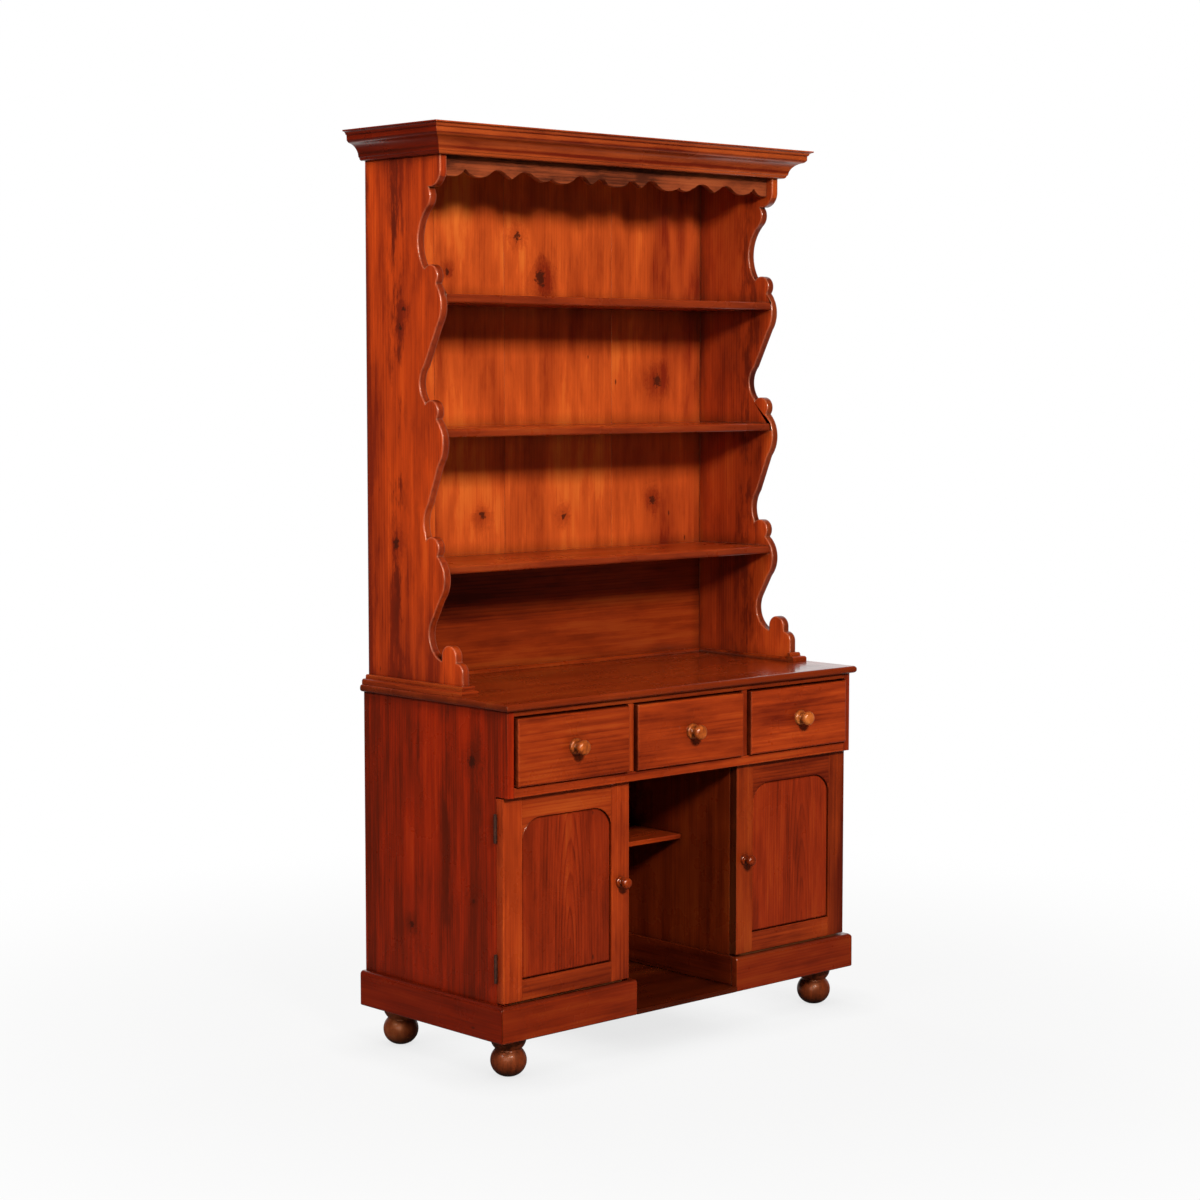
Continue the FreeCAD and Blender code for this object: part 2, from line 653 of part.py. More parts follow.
def make_door(side, hand):
    stiles = node(side + "_door_stiles")
    for name, start in (("lock_stile", "kennel_x"), ("hinge_stile", "half_width - stile_width")):
        block(stiles, name, (mirrored_low(hand, start, "stile_width"), "door_front_y", "door_bottom"),
              ("stile_width", "door_thickness", "door_height"))
    groove = ("rail_length + 2 * panel_groove_depth", "panel_thickness + 2 * groove_clearance",
              "door_height - door_bottom_rail_height - door_top_rail_height + 2 * panel_groove_depth")
    groove_low = (mirrored_low(hand, "kennel_x + stile_width - panel_groove_depth", groove[0]),
                  "door_front_y + panel_setback - groove_clearance",
                  "door_bottom + door_bottom_rail_height - panel_groove_depth")
    cut(stiles, "panel_groove", groove_low, groove)
    leaf_x = mirrored_low(hand, "half_width - leaf_width", "leaf_width + overrun")
    seat_y = "hinge_y - leaf_gap / 2 - leaf_thickness"
    for level in ("lower", "upper"):
        cut(stiles, level + "_leaf_seat", (leaf_x, seat_y, "hinge_%s_level - hinge_height / 2" % level),
            ("leaf_width + overrun", "door_back_y + overrun - (%s)" % seat_y, "hinge_height"))
    knob_hole(stiles, "knob_hole", "%d * door_knob_x" % hand, "door_knob_level", "door_front_y")

    rails = node(side + "_door_rails")
    rail_x = mirrored_low(hand, "kennel_x + stile_width", "rail_length")
    block(rails, "bottom_rail", (rail_x, "door_front_y", "door_bottom"),
          ("rail_length", "door_thickness", "door_bottom_rail_height"))
    opening = arched(hand, 0)
    top = mm("door_top")
    top_rail = [(opening[-1][0], top), (opening[0][0], top)] + opening[1:-1]
    pad(rails, "top_rail", "XZ_Plane", top_rail, "door_thickness", "-door_back_y")
    cut(rails, "panel_groove", groove_low, groove)

    panel = node(side + "_door_panel")
    reach = "(panel_groove_depth - groove_clearance)"
    block(panel, "tongue",
          (mirrored_low(hand, "kennel_x + stile_width - " + reach, "rail_length + 2 * " + reach),
           "door_front_y + panel_setback", "door_bottom + door_bottom_rail_height - " + reach),
          ("rail_length + 2 * " + reach, "panel_thickness",
           "door_height - door_bottom_rail_height - door_top_rail_height + 2 * " + reach))
    field = pad(panel, "field", "XZ_Plane", arched(hand, mm("field_gap")),
                "panel_setback - field_setback", "-(door_front_y + panel_setback)")
    face = mm("door_front_y") + mm("field_setback")
    round_edges(panel, "field_edge", field, lambda point: near(point.y, face), "field_edge_round")
    make_knob(side + "_door_knob", "door", ("%d * door_knob_x" % hand, "door_front_y", "door_knob_level"))


# Four brass butt hinges, let in between the doors and the sides with the knuckles
# outside. Each has five knuckles, three on the fixed leaf and two on the moving one.
def make_hinges():
    fixed = node("hinge_fixed_leaves")
    pins = node("hinge_pins")
    for side, hand in HANDS:
        moving = node(side + "_door_hinge_leaves")
        hinge_x = "%d * hinge_x" % hand
        for level in ("lower", "upper"):
            low_z = "hinge_%s_level - hinge_height / 2" % level
            for leaves, leaf_y, knuckles in (
                    (fixed, "hinge_y + leaf_gap / 2", (0, 2, 4)),
                    (moving, "hinge_y - leaf_gap / 2 - leaf_thickness", (1, 3))):
                name = "%s_%s" % (side, level)
                block(leaves, name + "_plate",
                      (mirrored_low(hand, "half_width - leaf_width + joint_gap", "leaf_width - joint_gap"),
                       leaf_y, low_z), ("leaf_width - joint_gap", "leaf_thickness", "hinge_height"))
                bore = "pin_radius" if leaves is fixed else "pin_radius + pin_clearance"
                for number in knuckles:
                    knuckle_z = "%s + %d * knuckle_height + knuckle_gap / 2" % (low_z, number)
                    height = "knuckle_height - knuckle_gap"
                    block(leaves, "%s_tab_%d" % (name, number),
                          (mirrored_low(hand, "half_width", "hinge_x - half_width"), leaf_y, knuckle_z),
                          ("hinge_x - half_width", "leaf_thickness", height))
                    rod(leaves, "%s_knuckle_%d" % (name, number), (hinge_x, "hinge_y", knuckle_z),
                        "knuckle_radius", height)
                rod(leaves, name + "_bore", (hinge_x, "hinge_y", low_z + " - overrun"), bore,
                    "hinge_height + 2 * overrun", "Subtractive")
            rod(pins, "%s_%s_shank" % (side, level), (hinge_x, "hinge_y", low_z), "pin_radius",
                "hinge_height")
            for end, start in (("foot", low_z + " - pin_cap_height"), ("head", low_z + " + hinge_height")):
                rod(pins, "%s_%s_%s" % (side, level, end), (hinge_x, "hinge_y", start), "knuckle_radius",
                    "pin_cap_height")


# The shaped front edge of a plate-rack side, from the top down. Reach from the back is a
# share of the depth at the top of the rack, and drops are shares of the space to the
# shelf below, counted from the shelf or cornice above. A waist is given per space.
HEAD_SHARES = ((1, 0.1), (0.84, 0.225, 0.965, 0.19), (0.835, 0.365, 0.87, 0.295))
HEAD_WAIST_SHARES = (0.775, 0.805, 0.703, 0.61)
LOBE_SHARES = ((0.787, 0.182), (0.932, 0.075, 0.925, 0.192))
BAY_SHARES = (
    ((0.95, 0.23, 1, 0.045), (0.777, 0.53), (0.785, 0.8, 0.717, 0.67)),
    ((0.952, 0.265, 1.01, 0.04), (0.817, 0.55), (0.79, 0.795, 0.762, 0.7)),
    ((0.96, 0.265, 1.02, 0.04), (0.855, 0.44), (0.988, 0.745, 0.826, 0.575)),
)
FINGER_SHARES = ((0.988, 0.7), (1.174, 0.7, 1.081, 0.615), (1.174, 0.745))


def side_front():
    """Points down the front edge of a plate-rack side, measured from the back and the floor."""
    depth = mm("hutch_top_depth")
    levels = [mm("cornice_bottom"), mm("shelf_upper_level"), mm("shelf_middle_level"),
              mm("shelf_lower_level"), mm("counter_height")]
    points = [(depth, mm("top_board_under"))]
    shapes = (HEAD_SHARES + (HEAD_WAIST_SHARES,),) + BAY_SHARES
    for bay, shape in enumerate(shapes):
        upper = levels[bay]
        space = upper - levels[bay + 1]
        for share in shape:
            points.append(tuple(part * depth if place % 2 == 0 else upper - part * space
                                for place, part in enumerate(share)))
        if bay < len(shapes) - 1:
            shelf = levels[bay + 1]
            for reach, rise, *through in LOBE_SHARES:
                point = (reach * depth, shelf + rise * space)
                if through:
                    point += (through[0] * depth, shelf + through[1] * space)
                points.append(point)
    foot = mm("hutch_foot_depth")
    counter = levels[-1]
    space = levels[-2] - counter
    for share in FINGER_SHARES:
        points.append(tuple(part * depth if place % 2 == 0 else levels[-2] - part * space
                            for place, part in enumerate(share)))
    step = foot - points[-1][0]
    last_z = points[-1][1]
    slant = 1 - math.sqrt(0.5)
    points.append((foot, last_z - step, foot - step * slant, last_z - step * slant))
    points.append((foot, counter))
    return points


def make_hutch_sides():
    back = mm("back_y")
    front = [tuple(back - part if place % 2 == 0 else part for place, part in enumerate(point))
             for point in side_front()]
    points = [(back, mm("counter_height")), (back, mm("top_board_under"))] + front
    for side, hand in HANDS:
        body = node("hutch_side_" + side)
        pad(body, "board", "YZ_Plane", points, "hutch_side_thickness",
            mirrored_low(hand, "hutch_inner_x", "hutch_side_thickness"))
        rebate_x = mirrored_low(hand, "hutch_inner_x - overrun", "back_rebate + overrun")
        cut(body, "back_rebate", (rebate_x, "back_board_y", "counter_height - overrun"),
            ("back_rebate + overrun", "back_thickness + back_recess + overrun",
             "top_board_under - counter_height + 2 * overrun"))
        groove_x = mirrored_low(hand, "hutch_inner_x - overrun", "shelf_housing_depth + overrun")
        for shelf in ("lower", "middle", "upper"):
            cut(body, shelf + "_housing",
                (groove_x, "shelf_front_y", "shelf_%s_level - shelf_thickness" % shelf),
                ("shelf_housing_depth + overrun", "shelf_reach + overrun", "shelf_thickness"))


# Three plate shelves housed in the sides, with a rounded front edge, and the board that
# closes the top.
def make_hutch_shelves():
    for shelf in ("lower", "middle", "upper"):
        body = node("hutch_shelf_" + shelf, ("-hutch_inner_x - shelf_housing_depth", "shelf_front_y",
                                             "shelf_%s_level - shelf_thickness" % shelf))
        board = block(body, "board", ("0", "0", "0"),
                      ("2 * hutch_inner_x + 2 * shelf_housing_depth", "back_board_y - shelf_front_y",
                       "shelf_thickness"))
        round_edges(body, "front_edge", board,
                    lambda point: near(point.y, 0) and not near(point.z, mm("shelf_thickness") / 2),
                    "shelf_edge_round")
    body = node("hutch_top_board", ("-hutch_x", "hutch_top_y", "top_board_under"))
    block(body, "board", ("0", "0", "0"), ("2 * hutch_x", "hutch_top_depth", "top_board_thickness"))


# The back of the rack: four upright planks of mixed width above the lowest shelf, and
# one board with level grain below it, all let into rebates in the sides.
PLANK_SHARES = (0, 0.166, 0.369, 0.7, 1)


def make_hutch_back():
    body = node("hutch_back_planks")
    span = "2 * (hutch_inner_x + back_rebate)"
    for number, (start, end) in enumerate(zip(PLANK_SHARES, PLANK_SHARES[1:]), 1):
        share = end - start
        block(body, "plank_%d" % number,
              ("-hutch_inner_x - back_rebate + %s * %s + back_plank_gap / 2" % (span, start),
               "back_board_y", "plank_foot + joint_gap"),
              ("%s * %.3f - back_plank_gap" % (span, share), "back_thickness",
               "top_board_under - plank_foot - joint_gap"))
    body = node("hutch_back_lower_board", ("-hutch_inner_x - back_rebate", "back_board_y", "counter_height"))
    block(body, "board", ("0", "0", "0"), (span, "back_thickness", "plank_foot - counter_height"))


# The scalloped valance between the sides: lobes, flat arches and pointed drops, the
# same to each side of the pattern's middle. Places are shares of half the clear width,
# drops are shares of the scallop, and the last lobe on each side runs on to the board's end.
SCALLOP_SHARES = ((0.058, 0.75, 0.031, 0.96), (0.128, 0.55, 0.093, 0.21), (0.152, 0.92),
                  (0.177, 0.55), (0.257, 0.47, 0.216, 0), (0.394, 0.57, 0.318, 1.05),
                  (0.478, 0.62, 0.447, 0.97), (0.5, 0.4), (0.592, 0.42, 0.552, 0), (0.624, 0.92),
                  (0.66, 0.45), (0.748, 0.5, 0.705, 0), (0.89, 0.1, 0.826, 0.93),
                  (0.952, 0.98, 0.917, 0.74))


def make_valance():
    body = node("hutch_valance")
    half = mm("hutch_inner_x")
    shift = mm("valance_shift")
    high = mm("cornice_bottom") - mm("valance_height") + mm("valance_scallop")
    drop = mm("valance_scallop")
    for_side = {}
    for side, hand in HANDS:
        board_end = (1 - hand * shift / half, 1)
        for_side[side] = [tuple(shift + hand * part * half if place % 2 == 0 else high - part * drop
                                for place, part in enumerate(share))
                          for share in SCALLOP_SHARES + (board_end,)]
    right = for_side["right"]
    left = for_side["left"]
    # the left half runs back towards the middle, so each arc keeps its own middle point
    centre = (shift, high - drop)
    backwards = []
    for number in range(len(left) - 1, -1, -1):
        target = left[number - 1][:2] if number else centre
        backwards.append(tuple(target) + tuple(left[number][2:]))
    points = [(half, mm("top_board_under")), (-half, mm("top_board_under")), left[-1][:2]]
    points += backwards + right
    pad(body, "board", "XZ_Plane", points, "valance_thickness",
        "-(hutch_top_y + valance_setback + valance_thickness)")


# Mouldings. Each section is given as shares of its projection and its height, and is
# run along the front and the sides with a mitre at each corner.
CORNICE_SHARES = ((0, 0), (0.1, 0.012), (0.25, 0.1, 0.22, 0.035), (0.29, 0.13), (0.31, 0.235),
                  (0.72, 0.575, 0.45, 0.445), (0.77, 0.61), (0.815, 0.66), (0.82, 0.82), (0.86, 0.835),
                  (0.985, 0.945, 0.9, 0.91), (1, 0.955), (1, 1), (0, 1))
FOOT_MOULDING_SHARES = ((0, 0), (1, 0), (1, 0.3), (0.68, 0.56, 0.93, 0.48), (0.45, 0.6), (0.42, 0.9),
                        (0.3, 1), (0, 1))


def section(shares, projection, height):
    """A moulding's section, out from its wall and up from its foot."""
    return [tuple(part * projection if place % 2 == 0 else part * height
                  for place, part in enumerate(share)) for share in shares]


def mitre(body, name, corner, hand, keep_front, span, low, height):
    """Cut a moulding along the diagonal out of a corner, keeping its front run or its side run."""
    corner_x, corner_y = corner
    outward = corner_x + hand * span
    inward = corner_x - hand * span
    if keep_front:
        wedge = [(inward, corner_y + span), (outward, corner_y - span), (outward, corner_y + span)]
    else:
        wedge = [(inward, corner_y + span), (outward, corner_y - span), (inward, corner_y - span)]
    tool = body.newObject("PartDesign::Pocket", body.Label + "_" + name)
    tool.Profile = sketch(body, name + "_outline", "XY_Plane", wedge, ("0", "0", low + " - overrun"))
    tool.setExpression("Length", formula(height + " + 2 * overrun"))
    tool.Reversed = True


def front_run(body, name, shape, wall_y, low_z, start_x, length):
    """A moulding along X, standing out towards the front from a wall."""
    points = [tuple(wall_y - part if place % 2 == 0 else low_z + part for place, part in enumerate(point))
              for point in shape]
    pad(body, name, "YZ_Plane", points, length, start_x)


def side_run(body, name, shape, wall_x, outward, low_z, end_y, length):
    """A moulding along Y, standing out sideways from a wall, forward from a given back place."""
    points = [tuple(wall_x + outward * part if place % 2 == 0 else low_z + part
                    for place, part in enumerate(point)) for point in shape]
    pad(body, name, "XZ_Plane", points, length, "-(%s)" % end_y)


def make_cornice():
    height = mm("cornice_height")
    reach = mm("cornice_projection")
    shape = section(CORNICE_SHARES, reach, height)
    low = mm("cornice_bottom")
    front = node("cornice_front")
    front_run(front, "run", shape, mm("hutch_top_y"), low, "-hutch_x - cornice_projection",
              "2 * (hutch_x + cornice_projection)")
    for side, hand in HANDS:
        mitre(front, side + "_mitre", (hand * mm("hutch_x"), mm("hutch_top_y")), hand, True, 2 * reach,
              "cornice_bottom", "cornice_height")
    returns = node("cornice_returns")
    for side, hand in HANDS:
        side_run(returns, side + "_run", shape, hand * mm("hutch_x"), hand, low, "back_y",
                 "hutch_top_depth + cornice_projection")
    for side, hand in HANDS:
        mitre(returns, side + "_mitre", (hand * mm("hutch_x"), mm("hutch_top_y")), hand, False, 2 * reach,
              "cornice_bottom", "cornice_height")


def make_foot_mouldings():
    height = mm("foot_moulding_height")
    reach = mm("foot_moulding_projection")
    shape = section(FOOT_MOULDING_SHARES, reach, height)
    low = mm("counter_height")
    foot_y = mm("back_y") - mm("hutch_foot_depth")
    sides = node("foot_moulding_sides")
    for side, hand in HANDS:
        side_run(sides, side + "_run", shape, hand * mm("hutch_x"), hand, low, "back_y",
                 "hutch_foot_depth + foot_moulding_projection")
    for side, hand in HANDS:
        mitre(sides, side + "_mitre", (hand * mm("hutch_x"), foot_y), hand, False, 2 * reach,
              "counter_height", "foot_moulding_height")
    front = node("foot_moulding_fronts")
    for side, hand in HANDS:
        front_run(front, side, shape, foot_y, low,
                  mirrored_low(hand, "hutch_inner_x - counter_bead_size",
                               "hutch_side_thickness + counter_bead_size + foot_moulding_projection"),
                  "hutch_side_thickness + counter_bead_size + foot_moulding_projection")
    for side, hand in HANDS:
        mitre(front, side + "_mitre", (hand * mm("hutch_x"), foot_y), hand, True, 2 * reach,
              "counter_height", "foot_moulding_height")


# A small quarter-round bead where the rack meets the worktop, along the back and along
# the inner face of each side, mitred in the corners.
BEAD_SHARES = ((0, 0), (1, 0), (0, 1, 0.7071, 0.7071))


def make_counter_bead():
    body = node("counter_bead")
    size = mm("counter_bead_size")
    shape = section(BEAD_SHARES, size, size)
    low = mm("counter_height")
    wall_x = mm("hutch_inner_x")
    back = mm("back_board_y")
    front_run(body, "back_bead", shape, back, low, "-hutch_inner_x", "2 * hutch_inner_x")
    length = "hutch_foot_depth - back_thickness - back_recess"
    for side, hand in HANDS:
        side_run(body, side + "_bead", shape, hand * wall_x, -hand, low, "back_board_y", length)


make_counter()
make_base_sides()
make_partitions()
make_frieze()
make_drawer_runners()
make_base_back()
make_floors_and_shelves()
make_plinth()
make_feet()
make_drawer("left", "-side_drawer_x", "cupboard_width")
make_drawer("middle", "0", "kennel_width")
make_drawer("right", "side_drawer_x", "cupboard_width")
for side, hand in HANDS:
    make_door(side, hand)
make_hinges()
make_hutch_sides()
make_hutch_shelves()
make_hutch_back()
make_valance()
make_cornice()
make_foot_mouldings()
make_counter_bead()

doc.recompute()
for thing in doc.Objects:
    if "Invalid" in thing.State or "Error" in thing.State:
        raise RuntimeError("%s did not compute: %s" % (thing.Label, thing.State))
os.makedirs("parts", exist_ok=True)
for body in nodes:
    if body.Shape.isNull() or not body.Shape.isValid():
        raise RuntimeError(body.Label + " has no valid shape")
for body in nodes:
    body.Shape.exportStep("parts/%s.step" % body.Label)
print("%d sub-parts, %d solids" % (len(nodes), sum(len(body.Shape.Solids) for body in nodes)))
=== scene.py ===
import math

import bmesh
import bpy
from mathutils import Euler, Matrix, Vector


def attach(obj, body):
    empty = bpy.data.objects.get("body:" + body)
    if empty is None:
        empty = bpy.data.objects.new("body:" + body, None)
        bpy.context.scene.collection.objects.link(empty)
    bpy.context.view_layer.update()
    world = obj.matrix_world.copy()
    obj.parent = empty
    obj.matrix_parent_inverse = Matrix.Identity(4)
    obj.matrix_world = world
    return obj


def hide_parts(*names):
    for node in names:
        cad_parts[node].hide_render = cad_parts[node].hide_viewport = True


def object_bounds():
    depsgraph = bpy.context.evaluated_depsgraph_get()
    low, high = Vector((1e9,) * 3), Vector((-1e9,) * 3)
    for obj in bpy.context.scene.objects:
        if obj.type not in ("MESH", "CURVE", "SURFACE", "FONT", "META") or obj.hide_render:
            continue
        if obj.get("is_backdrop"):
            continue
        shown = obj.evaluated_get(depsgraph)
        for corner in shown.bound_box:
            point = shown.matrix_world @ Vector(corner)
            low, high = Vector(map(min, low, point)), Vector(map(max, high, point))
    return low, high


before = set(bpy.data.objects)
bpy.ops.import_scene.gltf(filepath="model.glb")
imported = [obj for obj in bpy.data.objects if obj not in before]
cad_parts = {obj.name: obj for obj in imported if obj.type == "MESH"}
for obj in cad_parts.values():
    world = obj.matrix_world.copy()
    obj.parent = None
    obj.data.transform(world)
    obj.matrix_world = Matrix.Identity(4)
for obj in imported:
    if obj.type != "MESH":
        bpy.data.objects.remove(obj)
cad_low, cad_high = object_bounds()

# The camera stands in front of the dresser and to its left, a little below its highest
# plate shelf, and looks slightly down at it.
scene = bpy.context.scene
scene.view_settings.view_transform = "Standard"
EYE = (-4.2715, -4.5527, 1.5746)
EYE_PITCH = 4.93
EYE_YAW = -42.71
EYE_LENS = 78.2

eye = bpy.data.cameras.new("eye")
eye.lens = EYE_LENS
eye.sensor_width = 36
eye.clip_end = 60
eye_object = bpy.data.objects.new("eye", eye)
eye_object.location = EYE
eye_object.rotation_euler = Euler((math.radians(90 - EYE_PITCH), 0, math.radians(EYE_YAW)))
scene.collection.objects.link(eye_object)
scene.camera = eye_object

# The room: a white cloth hangs behind the dresser, and the rest of it is dim in the
# polish. It adds only a little even light.
WHITE = (1, 1, 1, 1)
CLOTH_SIDE = (0.68, 0.73, 0)
CLOTH_FADE = (0.55, 0.85)
ROOM_TINT = (1, 0.98, 0.96, 1)
ROOM_LIGHT = 0.04
ROOM_IN_POLISH = 0.05


def put(tree, kind, values=(), out=0, **settings):
    """Add a node with its settings and its inputs, by place or by name, and give one output."""
    node = tree.nodes.new(kind)
    for key, value in settings.items():
        setattr(node, key, value)
    pairs = values.items() if isinstance(values, dict) else enumerate(values)
    for key, value in pairs:
        if isinstance(value, bpy.types.NodeSocket):
            tree.links.new(value, node.inputs[key])
        elif value is not None:
            node.inputs[key].default_value = value
    return node.outputs[out]


def spread(tree, value, start, end, least=0.0, most=1.0, curve="LINEAR"):
    """Turn what lies between start and end into what lies between least and most."""
    return put(tree, "ShaderNodeMapRange", {"Value": value, "From Min": start, "From Max": end,
                                            "To Min": least, "To Max": most}, interpolation_type=curve)


def show(tree, shader, kind="ShaderNodeOutputMaterial"):
    """Make this shader the one that a material or a world shows."""
    tree.links.new(shader, tree.nodes.new(kind).inputs["Surface"])


def ray_is(tree, *kinds):
    """One for a ray of these kinds, and nothing for any other ray."""
    path = tree.nodes.new("ShaderNodeLightPath").outputs
    found = path["Is %s Ray" % kinds[0]]
    for kind in kinds[1:]:
        found = put(tree, "ShaderNodeMath", (found, path["Is %s Ray" % kind]), operation="MAXIMUM")
    return found


def white_of_cloth(tree, direction, elsewhere):
    """How white a direction is: all white for the camera, and in polish only towards the cloth."""
    side = put(tree, "ShaderNodeVectorMath", (direction, CLOTH_SIDE), 1, operation="DOT_PRODUCT")
    cloth = spread(tree, side, *CLOTH_FADE, elsewhere, 1.0, "SMOOTHSTEP")
    return put(tree, "ShaderNodeMath", (cloth, ray_is(tree, "Camera", "Transmission")), operation="MAXIMUM")


room = bpy.data.worlds.new("room")
scene.world = room
room.use_nodes = True
tree = room.node_tree
tree.nodes.clear()
around = put(tree, "ShaderNodeBackground", {"Color": ROOM_TINT, "Strength": ROOM_LIGHT})
level = white_of_cloth(tree, put(tree, "ShaderNodeTexCoord"), ROOM_IN_POLISH)
behind = put(tree, "ShaderNodeBackground", {"Color": WHITE, "Strength": level})
seen = ray_is(tree, "Camera", "Glossy", "Transmission")
show(tree, put(tree, "ShaderNodeMixShader", (seen, around, behind)), "ShaderNodeOutputWorld")

# The floor is white where it is seen, keeps the dresser's shadow, and throws back only a
# little light. Close to the dresser its white glow is darkened by a painted shadow. In the
# polish it is white only where it runs out under the cloth.
FLOOR_SIZE = 14
FLOOR_GREY = (0.28, 0.275, 0.27, 1)
SHADOW_SHARE = 0.1
SHADOW_REACH = (0.7, 2.6)
CONTACT_REACH = 0.16
CONTACT_SHADE = 0.8
FLOOR_IN_POLISH = 0.06


def blank_material(name):
    """A material that has no nodes yet."""
    material = bpy.data.materials.new(name)
    material.use_nodes = True
    material.node_tree.nodes.clear()
    return material


floor_mesh = bpy.data.meshes.new("floor")
corners = [(x * FLOOR_SIZE, y * FLOOR_SIZE, 0) for x, y in ((-1, -1), (1, -1), (1, 1), (-1, 1))]
floor_mesh.from_pydata(corners, [], [(0, 1, 2, 3)])
floor = bpy.data.objects.new("floor", floor_mesh)
scene.collection.objects.link(floor)
floor_paint = blank_material("pale_floor")
tree = floor_paint.node_tree
matt = put(tree, "ShaderNodeBsdfDiffuse", {"Color": FLOOR_GREY})
place = put(tree, "ShaderNodeNewGeometry")
away = put(tree, "ShaderNodeVectorMath", (place,), 1, operation="LENGTH")
share = spread(tree, away, *SHADOW_REACH, 1 - SHADOW_SHARE, 1.0, "SMOOTHSTEP")
# painted shadow: the floor's glow is darkened close to the dresser's feet
painted_contact_shadow = put(tree, "ShaderNodeAmbientOcclusion", {"Distance": CONTACT_REACH}, 1, samples=4)
painted_contact_shadow = spread(tree, painted_contact_shadow, 0.0, 1.0, CONTACT_SHADE)
direction = put(tree, "ShaderNodeVectorMath", (place,), operation="NORMALIZE")
mirror = white_of_cloth(tree, direction, FLOOR_IN_POLISH)
level = put(tree, "ShaderNodeMath", (painted_contact_shadow, mirror), operation="MULTIPLY")
glow = put(tree, "ShaderNodeEmission", {"Color": WHITE, "Strength": level})
seen = ray_is(tree, "Camera", "Glossy", "Transmission")
lit = put(tree, "ShaderNodeMath", (seen, share), operation="MULTIPLY")
show(tree, put(tree, "ShaderNodeMixShader", (lit, matt, glow)))
floor_mesh.materials.append(floor_paint)
floor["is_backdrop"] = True

# The lamps: a strong one in front and above, weaker ones at the left, right and back, and
# two windows that show only in the polish. All are aimed at the middle of the dresser.
AIM = Vector((0, 0, 1.05))
# name, place, width, height, power, tint, whether it lights surfaces and whether it shows in polish
LAMPS = (("key_lamp", (-1.8, -4.9, 3.6), 0.95, 0.85, 350, (1, 0.98, 0.95), True, True),
         ("left_lamp", (-4.8, -0.4, 3.3), 1.0, 1.2, 130, (1, 0.98, 0.96), True, True),
         ("right_lamp", (4.6, 0.6, 3.2), 1.0, 1.2, 110, (1, 0.98, 0.96), True, False),
         ("back_lamp", (0.8, 4.0, 5.2), 1.2, 1.2, 170, (1, 0.98, 0.96), True, False),
         ("high_window", (-3.7, -4.7, 4.3), 2.2, 2.0, 420, (1, 0.97, 0.94), False, True),
         ("wide_window", (-5.4, -3.6, 2.1), 3.6, 2.6, 330, (1, 0.97, 0.94), False, True))
for name, place, width, height, power, tint, lighting, mirrored in LAMPS:
    lamp = bpy.data.lights.new(name, "AREA")
    lamp.shape = "RECTANGLE"
    lamp.size = width
    lamp.size_y = height
    lamp.energy = power
    lamp.color = tint
    lamp_object = bpy.data.objects.new(name, lamp)
    lamp_object.location = place
    lamp_object.rotation_euler = (AIM - Vector(place)).to_track_quat("-Z", "Y").to_euler()
    lamp_object.visible_diffuse = lighting
    lamp_object.visible_glossy = mirrored
    scene.collection.objects.link(lamp_object)

# The two sides of the base: wide boards of old pine with upright grain, stained red-brown
# and waxed. The worktop lies on them, the plinth is nailed round them, and use has eased
# their edges.
LIGHT_STAIN = (0.48, 0.052, 0.007, 1)
DARK_STAIN = (0.17, 0.013, 0.003, 1)
GOLD_STAIN = (0.62, 0.098, 0.013, 1)
KNOT_STAIN = (0.030, 0.006, 0.003, 1)
WORN_EDGE_AND_HIGHLIGHT = (0.72, 0.26, 0.13, 1)
SIDE_LIGHT = (0.44, 0.024, 0.003, 1)
SIDE_GOLD = (0.58, 0.046, 0.005, 1)
RED_LIGHT = (0.46, 0.038, 0.006, 1)
RED_GOLD = (0.60, 0.078, 0.010, 1)


def noise(tree, place, scale, detail, roughness=0.5, out=0):
    """A cloudy pattern, with more fine detail the rougher it is."""
    return put(tree, "ShaderNodeTexNoise", {"Vector": place, "Scale": scale, "Detail": detail,
                                            "Roughness": roughness}, out)


